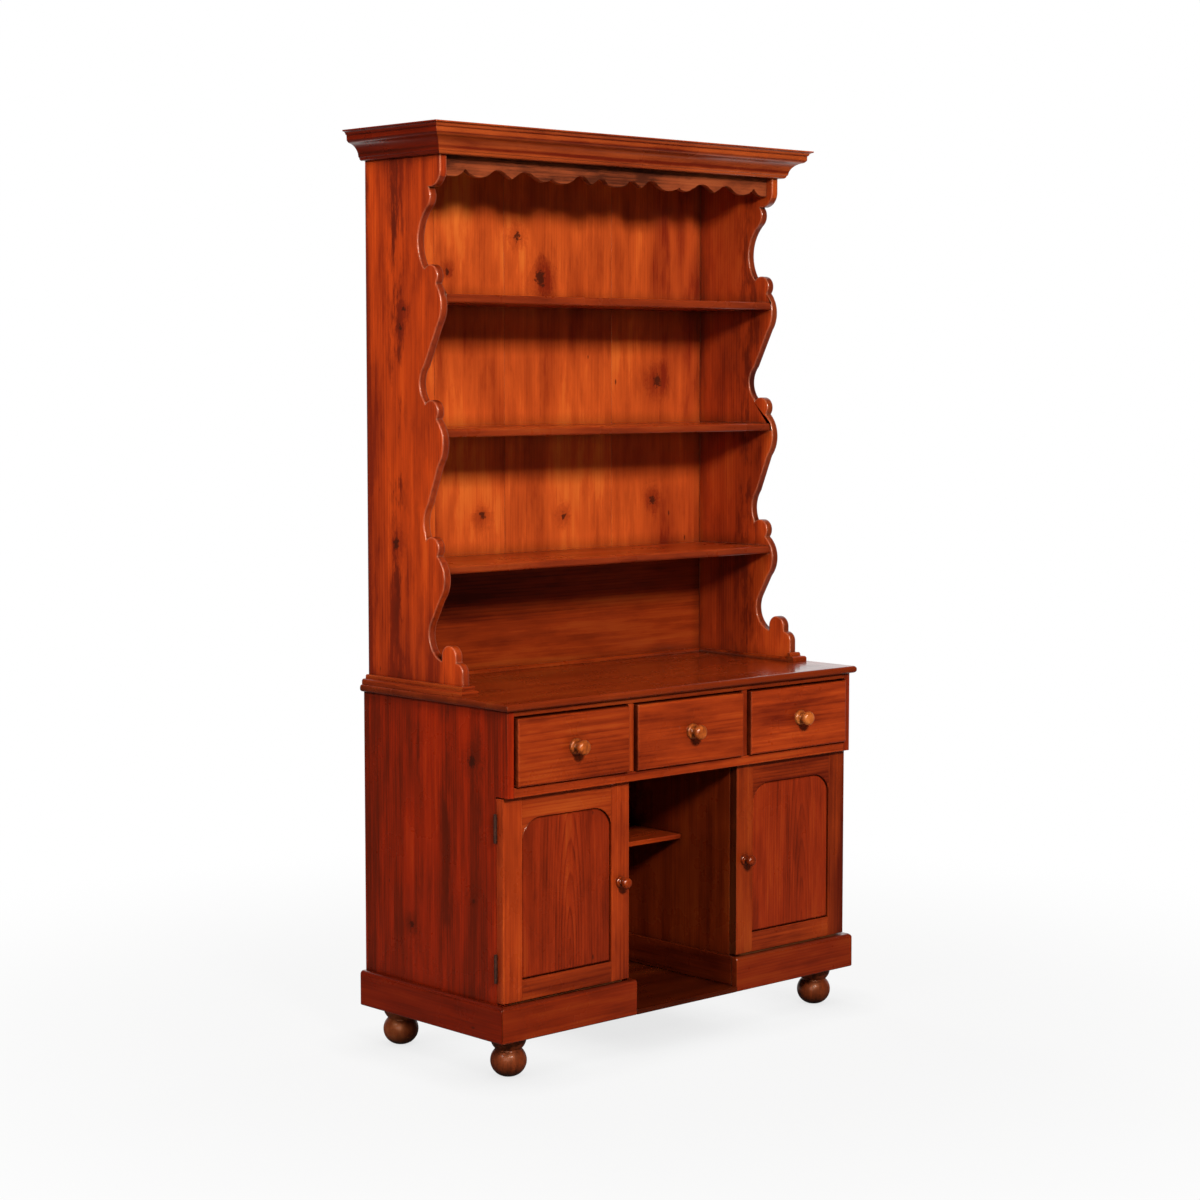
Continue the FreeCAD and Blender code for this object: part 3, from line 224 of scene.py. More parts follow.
def figure_group():
    """The look of sawn pine: growth rings about a far heart line, fibres, patches and knots."""
    tree = bpy.data.node_groups.new("pine_figure", "ShaderNodeTree")
    tree.interface.new_socket("Position", in_out="INPUT", socket_type="NodeSocketVector")
    for name in ("Seed", "Ring Gap", "Knots", "Knot Distance", "Heart", "Tilt", "Aside", "Streaks",
                 "Patches"):
        tree.interface.new_socket(name, in_out="INPUT", socket_type="NodeSocketFloat")
    for name in ("Shade", "Rings", "Fibre", "Knot", "Halo", "Mark", "Smudge", "Random"):
        tree.interface.new_socket(name, in_out="OUTPUT", socket_type="NodeSocketFloat")
    start = tree.nodes.new("NodeGroupInput").outputs
    end = tree.nodes.new("NodeGroupOutput").inputs

    def sums(operation, *values):
        return put(tree, "ShaderNodeMath", values, operation=operation)

    def vector(operation, *values):
        return put(tree, "ShaderNodeVectorMath", values, operation=operation)

    place = start["Position"]
    chance = put(tree, "ShaderNodeTexWhiteNoise", {"W": start["Seed"]}, 1, noise_dimensions="1D")
    first, second, third = put(tree, "ShaderNodeSeparateColor", (chance,)).node.outputs
    shift = (sums("MULTIPLY", first, 31.0), sums("MULTIPLY", second, 17.0), sums("MULTIPLY", third, 23.0))
    moved = vector("ADD", place, put(tree, "ShaderNodeCombineXYZ", shift))
    # the tree grew a little crooked, so its heart line wanders along the board
    slow = vector("MULTIPLY", moved, (1.2, 1.2, 0.4))
    wander = vector("SUBTRACT", noise(tree, slow, 1.0, 2.0, 0.45, 1), (0.5, 0.5, 0.5))
    bent = vector("ADD", place, vector("MULTIPLY", wander, (0.024, 0.036, 0)))
    # knots: a cell pattern across the face, where only some cells have one
    apart = put(tree, "ShaderNodeSeparateXYZ", (moved,)).node.outputs
    flat = put(tree, "ShaderNodeCombineXYZ", (apart[0], sums("MULTIPLY", apart[2], 0.8), third))
    cells = put(tree, "ShaderNodeTexVoronoi", {"Vector": flat, "Scale": 5.0, "Randomness": 0.95}).node
    reach = sums("DIVIDE", cells.outputs["Distance"], 5.0)
    cell = put(tree, "ShaderNodeSeparateColor", (cells.outputs["Color"],)).node.outputs
    wanted = sums("GREATER_THAN", start["Knots"], cell[0])
    size = sums("MULTIPLY_ADD", cell[1], 0.006, 0.004)
    rough_edge = noise(tree, moved, 130.0, 4.0, 0.65)
    # a cell without a knot counts as far from one, and a knot at a known place may be nearer
    strayed = sums("ADD", sums("SUBTRACT", 1.0, wanted), reach)
    nearest = sums("MINIMUM", strayed, start["Knot Distance"])
    uneven = sums("MULTIPLY_ADD", sums("SUBTRACT", rough_edge, 0.5), 0.028, nearest)
    share = sums("DIVIDE", uneven, size)
    core = spread(tree, share, 1.15, 0.55, curve="SMOOTHSTEP")
    halo = spread(tree, share, 4.5, 0.9, curve="SMOOTHERSTEP")
    swell = sums("MULTIPLY", halo, 0.02)
    # rings about the heart line, a little uneven, pushed aside by the knots
    side = put(tree, "ShaderNodeSeparateXYZ", (bent,)).node.outputs
    heart_x = sums("SUBTRACT", side[0], sums("MULTIPLY_ADD", second, 0.06, start["Aside"]))
    heart_y = sums("ADD", side[1], sums("MULTIPLY_ADD", third, 0.03, start["Heart"]))
    heart_y = sums("MULTIPLY_ADD", side[2], start["Tilt"], heart_y)
    squares = sums("ADD", sums("MULTIPLY", heart_x, heart_x), sums("MULTIPLY", heart_y, heart_y))
    fine = vector("MULTIPLY", moved, (1.0, 1.0, 0.07))
    shiver = sums("MULTIPLY_ADD", noise(tree, fine, 55.0, 3.0, 0.6), 0.004, swell)
    radius = sums("ADD", sums("SQRT", squares), shiver)
    pace = put(tree, "ShaderNodeTexNoise", {"W": sums("MULTIPLY", radius, 22.0), "Scale": 1.0,
                                            "Detail": 1.0}, noise_dimensions="1D")
    radius = sums("MULTIPLY_ADD", pace, 0.016, radius)
    ring = put(tree, "ShaderNodeValToRGB", (sums("FRACT", sums("DIVIDE", radius, start["Ring Gap"])),))
    ramp = ring.node.color_ramp
    ramp.interpolation = "B_SPLINE"
    for spot, level in ((0.0, 0.04), (0.5, 0.14), (0.76, 0.55), (0.9, 1.0)):
        stop = ramp.elements.new(spot)
        stop.color = (level, level, level, 1)
    ramp.elements[-1].color = (0.15, 0.15, 0.15, 1)
    thick = noise(tree, vector("MULTIPLY", moved, (9.0, 9.0, 0.8)), 1.0, 2.0)
    rings = sums("MULTIPLY", ring, spread(tree, thick, 0.35, 0.65, 0.15))

    def grain(across, along, detail, roughness=0.6):
        return noise(tree, vector("MULTIPLY", moved, (across, across, along)), 1.0, detail, roughness)

    # the depth of the stain: broad bands, feathered streaks and hair-thin fibres
    hair = grain(420.0, 9.0, 3.0, 0.7)
    shade = 0.5
    for pattern, share in ((grain(6.0, 2.6, 3.0, 0.5), start["Patches"]), (grain(13.0, 2.0, 3.0), 1.0),
                           (grain(34.0, 1.6, 3.0), sums("MULTIPLY", start["Streaks"], 0.8)),
                           (grain(110.0, 4.5, 4.0, 0.65), sums("MULTIPLY", start["Streaks"], 0.55)),
                           (hair, sums("MULTIPLY", start["Streaks"], 0.4))):
        shade = sums("MULTIPLY_ADD", sums("SUBTRACT", pattern, 0.5), share, shade)
    smudge = spread(tree, grain(30.0, 6.5, 5.0, 0.7), 0.45, 0.64, curve="SMOOTHSTEP")
    # short nicks and fly marks that have gone black
    nick = put(tree, "ShaderNodeTexVoronoi", {"Vector": vector("MULTIPLY", moved, (21.0, 21.0, 8.5)),
                                              "Scale": 1.0, "Randomness": 1.0}).node
    kept = put(tree, "ShaderNodeSeparateColor", (nick.outputs["Color"],)).node.outputs
    small = sums("MULTIPLY_ADD", kept[1], 0.05, 0.02)
    hit = spread(tree, sums("DIVIDE", nick.outputs["Distance"], small), 1.3, 0.6, curve="SMOOTHSTEP")
    mark = sums("MULTIPLY", hit, sums("GREATER_THAN", 0.4, kept[0]))
    for name, found in (("Shade", shade), ("Rings", rings), ("Fibre", hair), ("Knot", core), ("Halo", halo),
                        ("Mark", mark), ("Smudge", smudge), ("Random", first)):
        tree.links.new(found, end[name])
    return tree


pine_figure = figure_group()
CORNER_GRIME_AND_SHADE_REACH = 0.035
GRAIN_DEPTH = 0.0016
BARE_TONE = (0.7, 0.7, 0.7, 1)
WAX_TINT = (1, 0.42, 0.2, 1)


def stained_pine(name, axes, seed, tone, knots, ring_gap=0.0085, rough=0.27, grime_and_shade=0.65,
                 light=LIGHT_STAIN, dark=DARK_STAIN, gold=GOLD_STAIN, knots_at=(), heart=0.07, tilt=0.01,
                 aside=0.3, marks=0.8, rings=0.3, smudge=0.12, coat=0.2, dark_lines_and_shade=(), dirty_edge=(),
                 dirty_top=9.0, streaks=1.0, patches=0.6, end_grain_and_face_light=0.55, edge_round_and_highlight=0.0, depth=0.0, bumps=0.35,
                 bare_back=False, bare_beyond=9.0):
    """Stained and waxed pine. The three axes are across the board, through it, and along its grain.

    A known knot is given as its place across, its place along and its size, a dark line as its
    place across, its width, its strength and how even it is, and a dirty edge as an amount and
    the range of places across the board where it lies. Some dark lines are streaks in the wood,
    and others are painted shade.
    """
    material = blank_material(name)
    tree = material.node_tree

    def sums(operation, *values):
        return put(tree, "ShaderNodeMath", values, operation=operation)

    def blended(kind, share, first, second):
        return put(tree, "ShaderNodeMix", {0: share, 6: first, 7: second}, 2, data_type="RGBA",
                   blend_type=kind)

    spot = put(tree, "ShaderNodeTexCoord", out=3)
    centre = put(tree, "ShaderNodeAttribute", attribute_name="board_centre", out=1)
    local = put(tree, "ShaderNodeVectorMath", (spot, centre), operation="SUBTRACT")
    parts = put(tree, "ShaderNodeSeparateXYZ", (local,)).node.outputs
    turned = put(tree, "ShaderNodeCombineXYZ", tuple(parts["xyz".index(axis)] for axis in axes))
    # knots at known places on this board
    whole = put(tree, "ShaderNodeSeparateXYZ", (spot,)).node.outputs
    across, along = (whole["xyz".index(axes[place])] for place in (0, 2))
    nearest = 1.0
    for knot_across, knot_along, size in knots_at:
        side = sums("DIVIDE", sums("SUBTRACT", across, knot_across), size / 0.006)
        rise = sums("DIVIDE", sums("SUBTRACT", along, knot_along), size / 0.005)
        apart = sums("SQRT", sums("ADD", sums("MULTIPLY", side, side), sums("MULTIPLY", rise, rise)))
        nearest = sums("MINIMUM", nearest, apart)
    number = sums("ADD", put(tree, "ShaderNodeTexWhiteNoise", {"Vector": centre}), seed * 1.37)
    look = put(tree, "ShaderNodeGroup", {"Position": turned, "Seed": number, "Ring Gap": ring_gap,
                                         "Knots": knots, "Knot Distance": nearest, "Heart": heart,
                                         "Tilt": tilt, "Aside": aside, "Streaks": streaks,
                                         "Patches": patches}, node_tree=pine_figure).node.outputs

    # the depth of the stain, with rings, knots, smudges and this board's dark lines, some of which are
    # painted shade
    shade = sums("MULTIPLY_ADD", look["Rings"], -rings, look["Shade"])
    shade = sums("MULTIPLY_ADD", look["Halo"], -0.22, shade)
    shade = sums("ADD", shade, sums("MULTIPLY_ADD", look["Random"], 0.16, -0.08 - depth))
    shade = sums("MULTIPLY_ADD", look["Smudge"], -smudge, shade)
    soot = 0.0
    for line, width, strength, even in dark_lines_and_shade:
        blotched = sums("MULTIPLY_ADD", look["Smudge"], 1 - even, even)
        beside = sums("DIVIDE", sums("SUBTRACT", across, line), width)
        beside = sums("EXPONENT", sums("MULTIPLY", sums("MULTIPLY", beside, beside), -1.0))
        shade = sums("MULTIPLY_ADD", sums("MULTIPLY", beside, blotched), -strength, shade)
        soot = sums("MULTIPLY_ADD", sums("MULTIPLY", beside, look["Smudge"]), strength * (1 - even), soot)
    deep = spread(tree, shade, 0.02, 0.52)
    warm = spread(tree, shade, 0.5, 0.85)
    wood = blended("MIX", warm, blended("MIX", deep, dark, light), gold)
    wood = blended("MULTIPLY", 1.0, wood, (tone, tone, tone, 1))
    if dark_lines_and_shade:
        wood = blended("MIX", soot, wood, KNOT_STAIN)
    black = sums("MAXIMUM", sums("MULTIPLY", look["Knot"], 0.85), sums("MULTIPLY", look["Mark"], marks))
    wood = blended("MIX", black, wood, KNOT_STAIN)

    # a rounded-over board has its edge normals rounded, and a pale line is painted where the edge turns,
    # partly stain worn pale and partly a painted highlight
    facing = put(tree, "ShaderNodeSeparateXYZ", (put(tree, "ShaderNodeTexCoord", out=1),)).node.outputs
    turning = facing
    if edge_round_and_highlight:
        rounding = put(tree, "ShaderNodeBevel", {"Radius": edge_round_and_highlight}, samples=10)
        turning = put(tree, "ShaderNodeSeparateXYZ", (rounding,)).node.outputs
        flat = put(tree, "ShaderNodeNewGeometry", out=3)
        turned_by = put(tree, "ShaderNodeVectorMath", (rounding, flat), 1, operation="DOT_PRODUCT")
        worn_and_highlight_line = spread(tree, turned_by, 0.97, 0.78)
        wood = blended("MIX", sums("MULTIPLY", worn_and_highlight_line, 0.7), wood, WORN_EDGE_AND_HIGHLIGHT)

    # end grain drinks more stain, and a negative amount paints the end faces lighter instead, as painted
    # light on the knobs' front faces; edges that are handled gather dirt and a shine
    cut_across = sums("POWER", sums("ABSOLUTE", facing["xyz".index(axes[2])]), 3.0)
    kept = sums("MULTIPLY_ADD", cut_across, -end_grain_and_face_light, 1.0)
    out = sums("ABSOLUTE", across)
    shine = coat
    if dirty_edge:
        amount, nearer, farther = dirty_edge
        inside = sums("MULTIPLY", sums("GREATER_THAN", out, nearer), sums("LESS_THAN", out, farther))
        inside = sums("MULTIPLY", inside, sums("LESS_THAN", along, dirty_top))
        edges = sums("POWER", sums("ABSOLUTE", turning["xyz".index(axes[0])]), 1.5)
        handled = sums("MULTIPLY", edges, inside)
        kept = sums("MULTIPLY", kept, sums("MULTIPLY_ADD", handled, -amount, 1.0))
        if edge_round_and_highlight:
            handled = sums("MAXIMUM", handled, worn_and_highlight_line)
        shine = spread(tree, handled, 0.1, 0.6, coat)
    stained = put(tree, "ShaderNodeCombineColor", (kept, sums("POWER", kept, 0.9),
                                                   sums("POWER", kept, 0.55)))
    wood = blended("MULTIPLY", 1.0, wood, stained)

    smear = noise(tree, spot, 7.0, 4.0, 0.6)
    dull = spread(tree, smear, 0.3, 0.7, rough - 0.04, rough + 0.1)
    if bare_back:
        back = sums("MAXIMUM", sums("GREATER_THAN", facing[1], 0.5), sums("GREATER_THAN", out, bare_beyond))
        raw = blended("MIX", warm, blended("MIX", deep, BARE_DARK, BARE_LIGHT), BARE_GOLD)
        raw = blended("MIX", black, blended("MULTIPLY", 1.0, raw, BARE_TONE), KNOT_STAIN)
        wood = blended("MIX", back, wood, raw)
        dull = sums("MULTIPLY_ADD", back, 0.3, dull)
    # painted shade: the colour is darkened in inner corners, where shade falls, and this also stands for the
    # dirt that lies there
    corner = put(tree, "ShaderNodeAmbientOcclusion", {"Distance": CORNER_GRIME_AND_SHADE_REACH}, 1, samples=2)
    corner_grime_and_shade = spread(tree, corner, 0.25, 0.95, 1 - grime_and_shade)
    wood = blended("MULTIPLY", 1.0, wood, put(tree, "ShaderNodeCombineColor", (corner_grime_and_shade, corner_grime_and_shade, corner_grime_and_shade)))

    # planing left slow waves, and the grain stands a little open
    slow = put(tree, "ShaderNodeVectorMath", (turned, (14, 14, 4)), operation="MULTIPLY")
    height = sums("ADD", sums("MULTIPLY", look["Rings"], -0.008), sums("MULTIPLY", look["Fibre"], -0.03))
    height = sums("ADD", height, noise(tree, slow, 1.0, 2.0))
    height = sums("SUBTRACT", height, sums("MULTIPLY", black, 0.03))
    bump = put(tree, "ShaderNodeBump", {"Strength": bumps, "Distance": GRAIN_DEPTH, "Height": height})
    if edge_round_and_highlight:
        tree.links.new(rounding, bump.node.inputs["Normal"])
    show(tree, put(tree, "ShaderNodeBsdfPrincipled", {"Base Color": wood, "Roughness": dull, "Normal": bump,
                                                      "Coat Weight": shine, "Coat Roughness": 0.1,
                                                      "Specular IOR Level": 0.3,
                                                      "Specular Tint": WAX_TINT}))
    return material


WELD = 0.00002
FLAT_WITHIN = math.radians(0.6)


def separate_boards(work):
    """The vertices of each board in a mesh that holds several, with its lowest and highest corner."""
    left = set(work.verts)
    while left:
        board = [left.pop()]
        for vert in board:
            for edge in vert.link_edges:
                other = edge.other_vert(vert)
                if other in left:
                    left.discard(other)
                    board.append(other)
        yield (board, Vector([min(vert.co[axis] for vert in board) for axis in range(3)]),
               Vector([max(vert.co[axis] for vert in board) for axis in range(3)]))


def worn(node, material, ease=0.0016, body="carcass", sharp=32, steps=3):
    """A board with its edges eased by use: it takes the place of the plain solid of that name."""
    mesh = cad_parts[node].data.copy()
    work = bmesh.new()
    work.from_mesh(mesh)
    bmesh.ops.remove_doubles(work, verts=work.verts, dist=WELD)
    bmesh.ops.dissolve_limit(work, angle_limit=FLAT_WITHIN, verts=work.verts, edges=work.edges)
    centre = work.faces.layers.float_vector.new("board_centre")
    for board, low, high in separate_boards(work):
        middle = Vector([round(value, 4) for value in (low + high) / 2])
        for face in {face for vert in board for face in vert.link_faces}:
            face[centre] = middle
    for face in work.faces:
        face.smooth = True
    work.to_mesh(mesh)
    work.free()
    mesh.set_sharp_from_angle(angle=math.radians(sharp))
    mesh.materials.clear()
    mesh.materials.append(material)
    piece = bpy.data.objects.new(node + "_worn", mesh)
    scene.collection.objects.link(piece)
    if ease:
        bevel = piece.modifiers.new("ease", "BEVEL")
        bevel.width = ease
        bevel.segments = steps
        bevel.limit_method = "ANGLE"
        bevel.angle_limit = math.radians(sharp)
        bevel.use_clamp_overlap = True
        flat = piece.modifiers.new("flat_faces", "WEIGHTED_NORMAL")
        flat.keep_sharp = True
        flat.weight = 100
    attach(piece, body)
    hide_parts(node)
    return piece


# The base's boards get lower tones than the rack's, partly a darker stain and partly painted shade for the
# light that falls off towards the foot.
left_pine = stained_pine("base_side_left_pine", "yxz", 3, 0.76, light=SIDE_LIGHT, gold=SIDE_GOLD, smudge=0.1,
                         knots=0.0, coat=0.1, streaks=1.35, patches=0.5, rings=0.4,
                         dark_lines_and_shade=((-0.13, 0.022, 0.3, 0.7), (-0.02, 0.014, 0.35, 0.3),
                                     (0.08, 0.012, 0.2, 0.5), (0.2, 0.12, 0.08, 1.0),
                                     (0.27, 0.008, 0.3, 0.6)),
                         knots_at=((-0.11, 0.713, 0.008), (-0.115, 0.399, 0.006), (0.107, 0.311, 0.006)))
worn("base_side_left", left_pine)
worn("base_side_right", stained_pine("base_side_right_pine", "yxz", 8, 0.60, 0.05, light=RED_LIGHT,
                                     gold=RED_GOLD))

# The two boards that close the kennel off, with upright grain. They carry less stain and
# more dirt than the outside, because hands and light hardly reach them.
worn("kennel_partition_left", stained_pine("kennel_left_pine", "yxz", 11, 0.36, 0.45))
worn("kennel_partition_right", stained_pine("kennel_right_pine", "yxz", 14, 0.36, 0.6))

# The frieze: a thin rail under the worktop, a deeper rail below the drawers and two
# dividers between them, all pine of nearly one tone, joined into the sides. The grain
# runs level in the rails.
worn("frieze_top_rail", stained_pine("top_rail_pine", "zyx", 21, 0.62, 0.1))
worn("frieze_bottom_rail", stained_pine("bottom_rail_pine", "zyx", 23, 0.85, 0.1), 0.002)
worn("drawer_dividers", stained_pine("divider_pine", "xyz", 25, 0.85, 0.1), 0.002)

# The worktop: one wide pine board with level grain and a round worn edge, laid over the
# case and waxed to a shine.
worn("counter_top", stained_pine("counter_pine", "yzx", 31, 0.47, 0.0, rough=0.22, coat=0.4, rings=0.1,
                                 smudge=0.05, marks=0.4, streaks=0.35, patches=0.3, end_grain_and_face_light=0.3, bumps=0.1),
     0.0014)

# Inside the base: bare pine gone brown. Runners, kickers and stops carry the drawers,
# boards on cleats make the cupboard floors and shelves, and upright boards nailed into
# rebates close the back.
BARE_LIGHT = (0.38, 0.155, 0.058, 1)
BARE_DARK = (0.14, 0.043, 0.015, 1)
BARE_GOLD = (0.48, 0.225, 0.095, 1)
INNER_STRIPS = (("drawer_runners", "xzy", 41), ("drawer_kickers", "xzy", 42), ("drawer_stops", "yzx", 43),
                ("cupboard_shelf_cleats", "xzy", 44), ("foot_blocks", "xyz", 45))


def bare_pine(name, axes, seed, tone=1.0):
    """Unstained pine, dry and browned by age."""
    return stained_pine(name, axes, seed, tone, 0.3, rough=0.55, light=BARE_LIGHT, dark=BARE_DARK,
                        gold=BARE_GOLD)


for node, axes, seed in INNER_STRIPS:
    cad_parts[node].data.materials.clear()
    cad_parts[node].data.materials.append(bare_pine(node + "_pine", axes, seed))
worn("cupboard_floors", bare_pine("cupboard_floor_pine", "yzx", 46, 0.9))
worn("cupboard_shelves", bare_pine("cupboard_shelf_pine", "yzx", 47, 0.9))
worn("base_back_boards", stained_pine("base_back_pine", "xyz", 48, 0.3, 0.3, rough=0.4, coat=0.0,
                                      bare_back=True, bare_beyond=0.19))

# The kennel: a low floor flush with the plinth, a board along each side of it, and a
# narrow shelf housed between the partitions. All are pine, dark with dirt.
worn("kennel_floor", stained_pine("kennel_floor_pine", "yzx", 51, 0.16, 0.2), 0.002)
worn("kennel_skirts", stained_pine("kennel_skirt_pine", "zxy", 52, 0.3, 0.2), 0.002)
worn("kennel_shelf", stained_pine("kennel_shelf_pine", "yzx", 53, 0.75, 0.2), 0.002)

# The plinth: pine boards with level grain, mitred at the corners and nailed round the
# foot of the case, with a rounded and rubbed top edge.
ALL_OVER = (-1.0, 9.0)
worn("plinth_fronts", stained_pine("plinth_front_pine", "zyx", 61, 0.50, 0.1, light=RED_LIGHT, gold=RED_GOLD,
                                   dirty_edge=(0.5, *ALL_OVER), coat=0.15), 0.003)
worn("plinth_sides", stained_pine("plinth_side_pine", "zxy", 62, 0.44, 0.1, light=SIDE_LIGHT, gold=SIDE_GOLD,
                                  dirty_edge=(0.5, *ALL_OVER), coat=0.1), 0.003)

# Four bun feet, turned from solid pine, with a flared collar under the plinth. A spigot on
# each goes up into a block that is glued inside the plinth.
FOOT_LIGHT = (0.30, 0.052, 0.013, 1)
FOOT_DARK = (0.08, 0.014, 0.005, 1)
FOOT_GOLD = (0.42, 0.11, 0.035, 1)
worn("bun_feet", stained_pine("foot_pine", "xyz", 71, 0.78, 0.0, rings=0.15, smudge=0.2, rough=0.4,
                              coat=0.05, light=FOOT_LIGHT, dark=FOOT_DARK, gold=FOOT_GOLD),
     0, sharp=40)

# Three drawers: a pine front with level grain, which stands proud and is rounded on its
# edges, over a bare pine box. The knobs are turned and rubbed pale by hands, and painted light makes their
# front faces paler still.
WORN_LIGHT = (0.52, 0.115, 0.02, 1)
WORN_DARK = (0.16, 0.024, 0.006, 1)
WORN_GOLD = (0.64, 0.21, 0.05, 1)
for number, (side, tone) in enumerate((("left", 0.70), ("middle", 0.79), ("right", 0.92))):
    body = side + "_drawer"
    front_pine = stained_pine(body + "_front_pine", "zyx", 81 + 3 * number, tone, 0.1, rings=0.3,
                              aside=0.04, heart=0.04)
    worn(body + "_front", front_pine, 0.001, body)
    worn(body + "_box", bare_pine(body + "_box_pine", "zxy", 82 + 3 * number), 0.001, body)
    bottom_pine = bare_pine(body + "_bottom_pine", "xzy", 83 + 3 * number)
    worn(body + "_bottom", bottom_pine, 0.0005, body)
    knob_pine = stained_pine(body + "_knob_pine", "xzy", 90 + number, 0.72, 0, rough=0.28, coat=0.3,
                             end_grain_and_face_light=-0.5, light=WORN_LIGHT, dark=WORN_DARK, gold=WORN_GOLD)
    worn(body + "_knob", knob_pine, 0, body, sharp=40)

# Two framed pine doors with upright grain in the stiles and the panel and level grain in
# the rails, mortised together. The arched panel stands almost level with the frame.
FREE_EDGE = (0.17, 0.182)
# The right door's stiles get a lower tone than the left's, partly the wood and partly painted shade for the
# light falling off to the right.
for number, (side, stile_tone, panel_tone) in enumerate((("left", 0.88, 0.66), ("right", 0.64, 0.69))):
    body = side + "_door"
    stile_pine = stained_pine(body + "_stile_pine", "xyz", 101 + 4 * number, stile_tone, 0.05,
                              dirty_edge=(0.8, *FREE_EDGE))
    worn(body + "_stiles", stile_pine, 0.0015, body)
    rail_pine = stained_pine(body + "_rail_pine", "zyx", 102 + 4 * number, 0.72, 0.05,
                             dirty_edge=(0.5, *ALL_OVER), coat=0.2)
    worn(body + "_rails", rail_pine, 0.0016, body)
    panel_pine = stained_pine(body + "_panel_pine", "xyz", 103 + 4 * number, panel_tone, 0.0, ring_gap=0.008,
                              light=RED_LIGHT, gold=RED_GOLD, aside=0.0, rings=0.45, heart=0.02, tilt=0.1)
    worn(body + "_panel", panel_pine, 0.0006, body)
    # The knob's front face is painted lighter, as painted light.
    knob_pine = stained_pine(body + "_knob_pine", "xzy", 104 + 4 * number, 0.42, 0, rough=0.24, coat=0.5,
                             end_grain_and_face_light=-0.3)
    worn(body + "_knob", knob_pine, 0, body, sharp=40)

# The butt hinges, two to a door: brass leaves gone dark, screwed to the front edge of the
# case and to the back of the door, with a pin through their knuckles.


def old_brass(name):
    """Brass with a brown skin that is worn through in places."""
    material = blank_material(name)
    tree = material.node_tree
    stain = noise(tree, put(tree, "ShaderNodeTexCoord", out=3), 160.0, 4.0, 0.6)
    tint = put(tree, "ShaderNodeValToRGB", (stain,))
    ramp = tint.node.color_ramp
    ramp.elements[0].position = 0.35
    ramp.elements[0].color = (0.022, 0.007, 0.004, 1)
    ramp.elements[1].position = 0.7
    ramp.elements[1].color = (0.075, 0.019, 0.008, 1)
    dull = spread(tree, stain, 0.0, 1.0, 0.85, 0.6)
    bump = put(tree, "ShaderNodeBump", {"Strength": 0.3, "Distance": 0.0004, "Height": stain})
    show(tree, put(tree, "ShaderNodeBsdfPrincipled", {"Base Color": tint, "Roughness": dull, "Normal": bump,
                                                      "Specular IOR Level": 0.12}))
    return material


hinge_brass = old_brass("hinge_brass")
for node in ("hinge_fixed_leaves", "hinge_pins", "left_door_hinge_leaves", "right_door_hinge_leaves"):
    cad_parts[node].data.materials.clear()
    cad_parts[node].data.materials.append(hinge_brass)

# The hinge screws: brass, with slotted heads sunk nearly flush, three to each leaf and
# each stopped at its own turn.
SCREW_RADIUS = 0.0031
SCREW_HEIGHT = 0.0005
SCREW_SLOT = 0.0007
SCREW_SPOTS = ((0.5525, -0.021), (0.5560, 0.0), (0.5525, 0.021))
HINGE_LEVELS = (0.256, 0.572)
CASE_LEAF_FACE = -0.1942
DOOR_LEAF_FACE = -0.1948


def driven_heads_tree():
    """Round heads of screws or nails at the points of a mesh, each turned its own way."""
    tree = bpy.data.node_groups.new("driven_heads", "GeometryNodeTree")
    tree.interface.new_socket("Geometry", in_out="INPUT", socket_type="NodeSocketGeometry")
    for name, kind in (("Head Radius", "NodeSocketFloat"), ("Head Height", "NodeSocketFloat"),
                       ("Slot Width", "NodeSocketFloat"), ("Facing", "NodeSocketVector"),
                       ("Seed", "NodeSocketInt"), ("Metal", "NodeSocketMaterial")):
        tree.interface.new_socket(name, in_out="INPUT", socket_type=kind)
    tree.interface.new_socket("Geometry", in_out="OUTPUT", socket_type="NodeSocketGeometry")
    given = tree.nodes.new("NodeGroupInput").outputs
    radius, height, slot_width = (given[name] for name in ("Head Radius", "Head Height", "Slot Width"))

    head = put(tree, "GeometryNodeMeshCylinder", {"Vertices": 20, "Radius": radius, "Depth": height})
    across = put(tree, "ShaderNodeMath", (radius, 2.4), operation="MULTIPLY")
    bar = put(tree, "GeometryNodeMeshCube", {"Size": put(tree, "ShaderNodeCombineXYZ",
                                                         (across, slot_width, height))})
    raised = put(tree, "ShaderNodeMath", (height, 0.66), operation="MULTIPLY")
    lift = put(tree, "ShaderNodeCombineXYZ", {"Z": raised})
    cutter = put(tree, "GeometryNodeTransform", {"Geometry": bar, "Translation": lift})
    slotted = put(tree, "GeometryNodeMeshBoolean", {"Mesh 1": head, "Mesh 2": cutter},
                  operation="DIFFERENCE", solver="EXACT")
    has_slot = put(tree, "FunctionNodeCompare", (slot_width, 0.00001), operation="GREATER_THAN")
    either = put(tree, "GeometryNodeSwitch", {"Switch": has_slot, "False": head, "True": slotted},
                 input_type="GEOMETRY")
    facing = put(tree, "FunctionNodeEulerToRotation", (given["Facing"],))
    placed = put(tree, "GeometryNodeInstanceOnPoints", {"Points": given["Geometry"], "Instance": either,
                                                        "Rotation": facing})
    chance = put(tree, "FunctionNodeRandomValue", {3: math.tau, "Seed": given["Seed"]}, 1, data_type="FLOAT")
    twist = put(tree, "FunctionNodeEulerToRotation", (put(tree, "ShaderNodeCombineXYZ", {"Z": chance}),))
    turned = put(tree, "GeometryNodeRotateInstances", {"Instances": placed, "Local Space": True,
                                                       "Rotation": twist})
    real = put(tree, "GeometryNodeRealizeInstances", {"Geometry": turned})
    painted = put(tree, "GeometryNodeSetMaterial", {"Geometry": real, "Material": given["Metal"]})
    tree.links.new(painted, tree.nodes.new("NodeGroupOutput").inputs["Geometry"])
    return tree


driven_heads = driven_heads_tree()


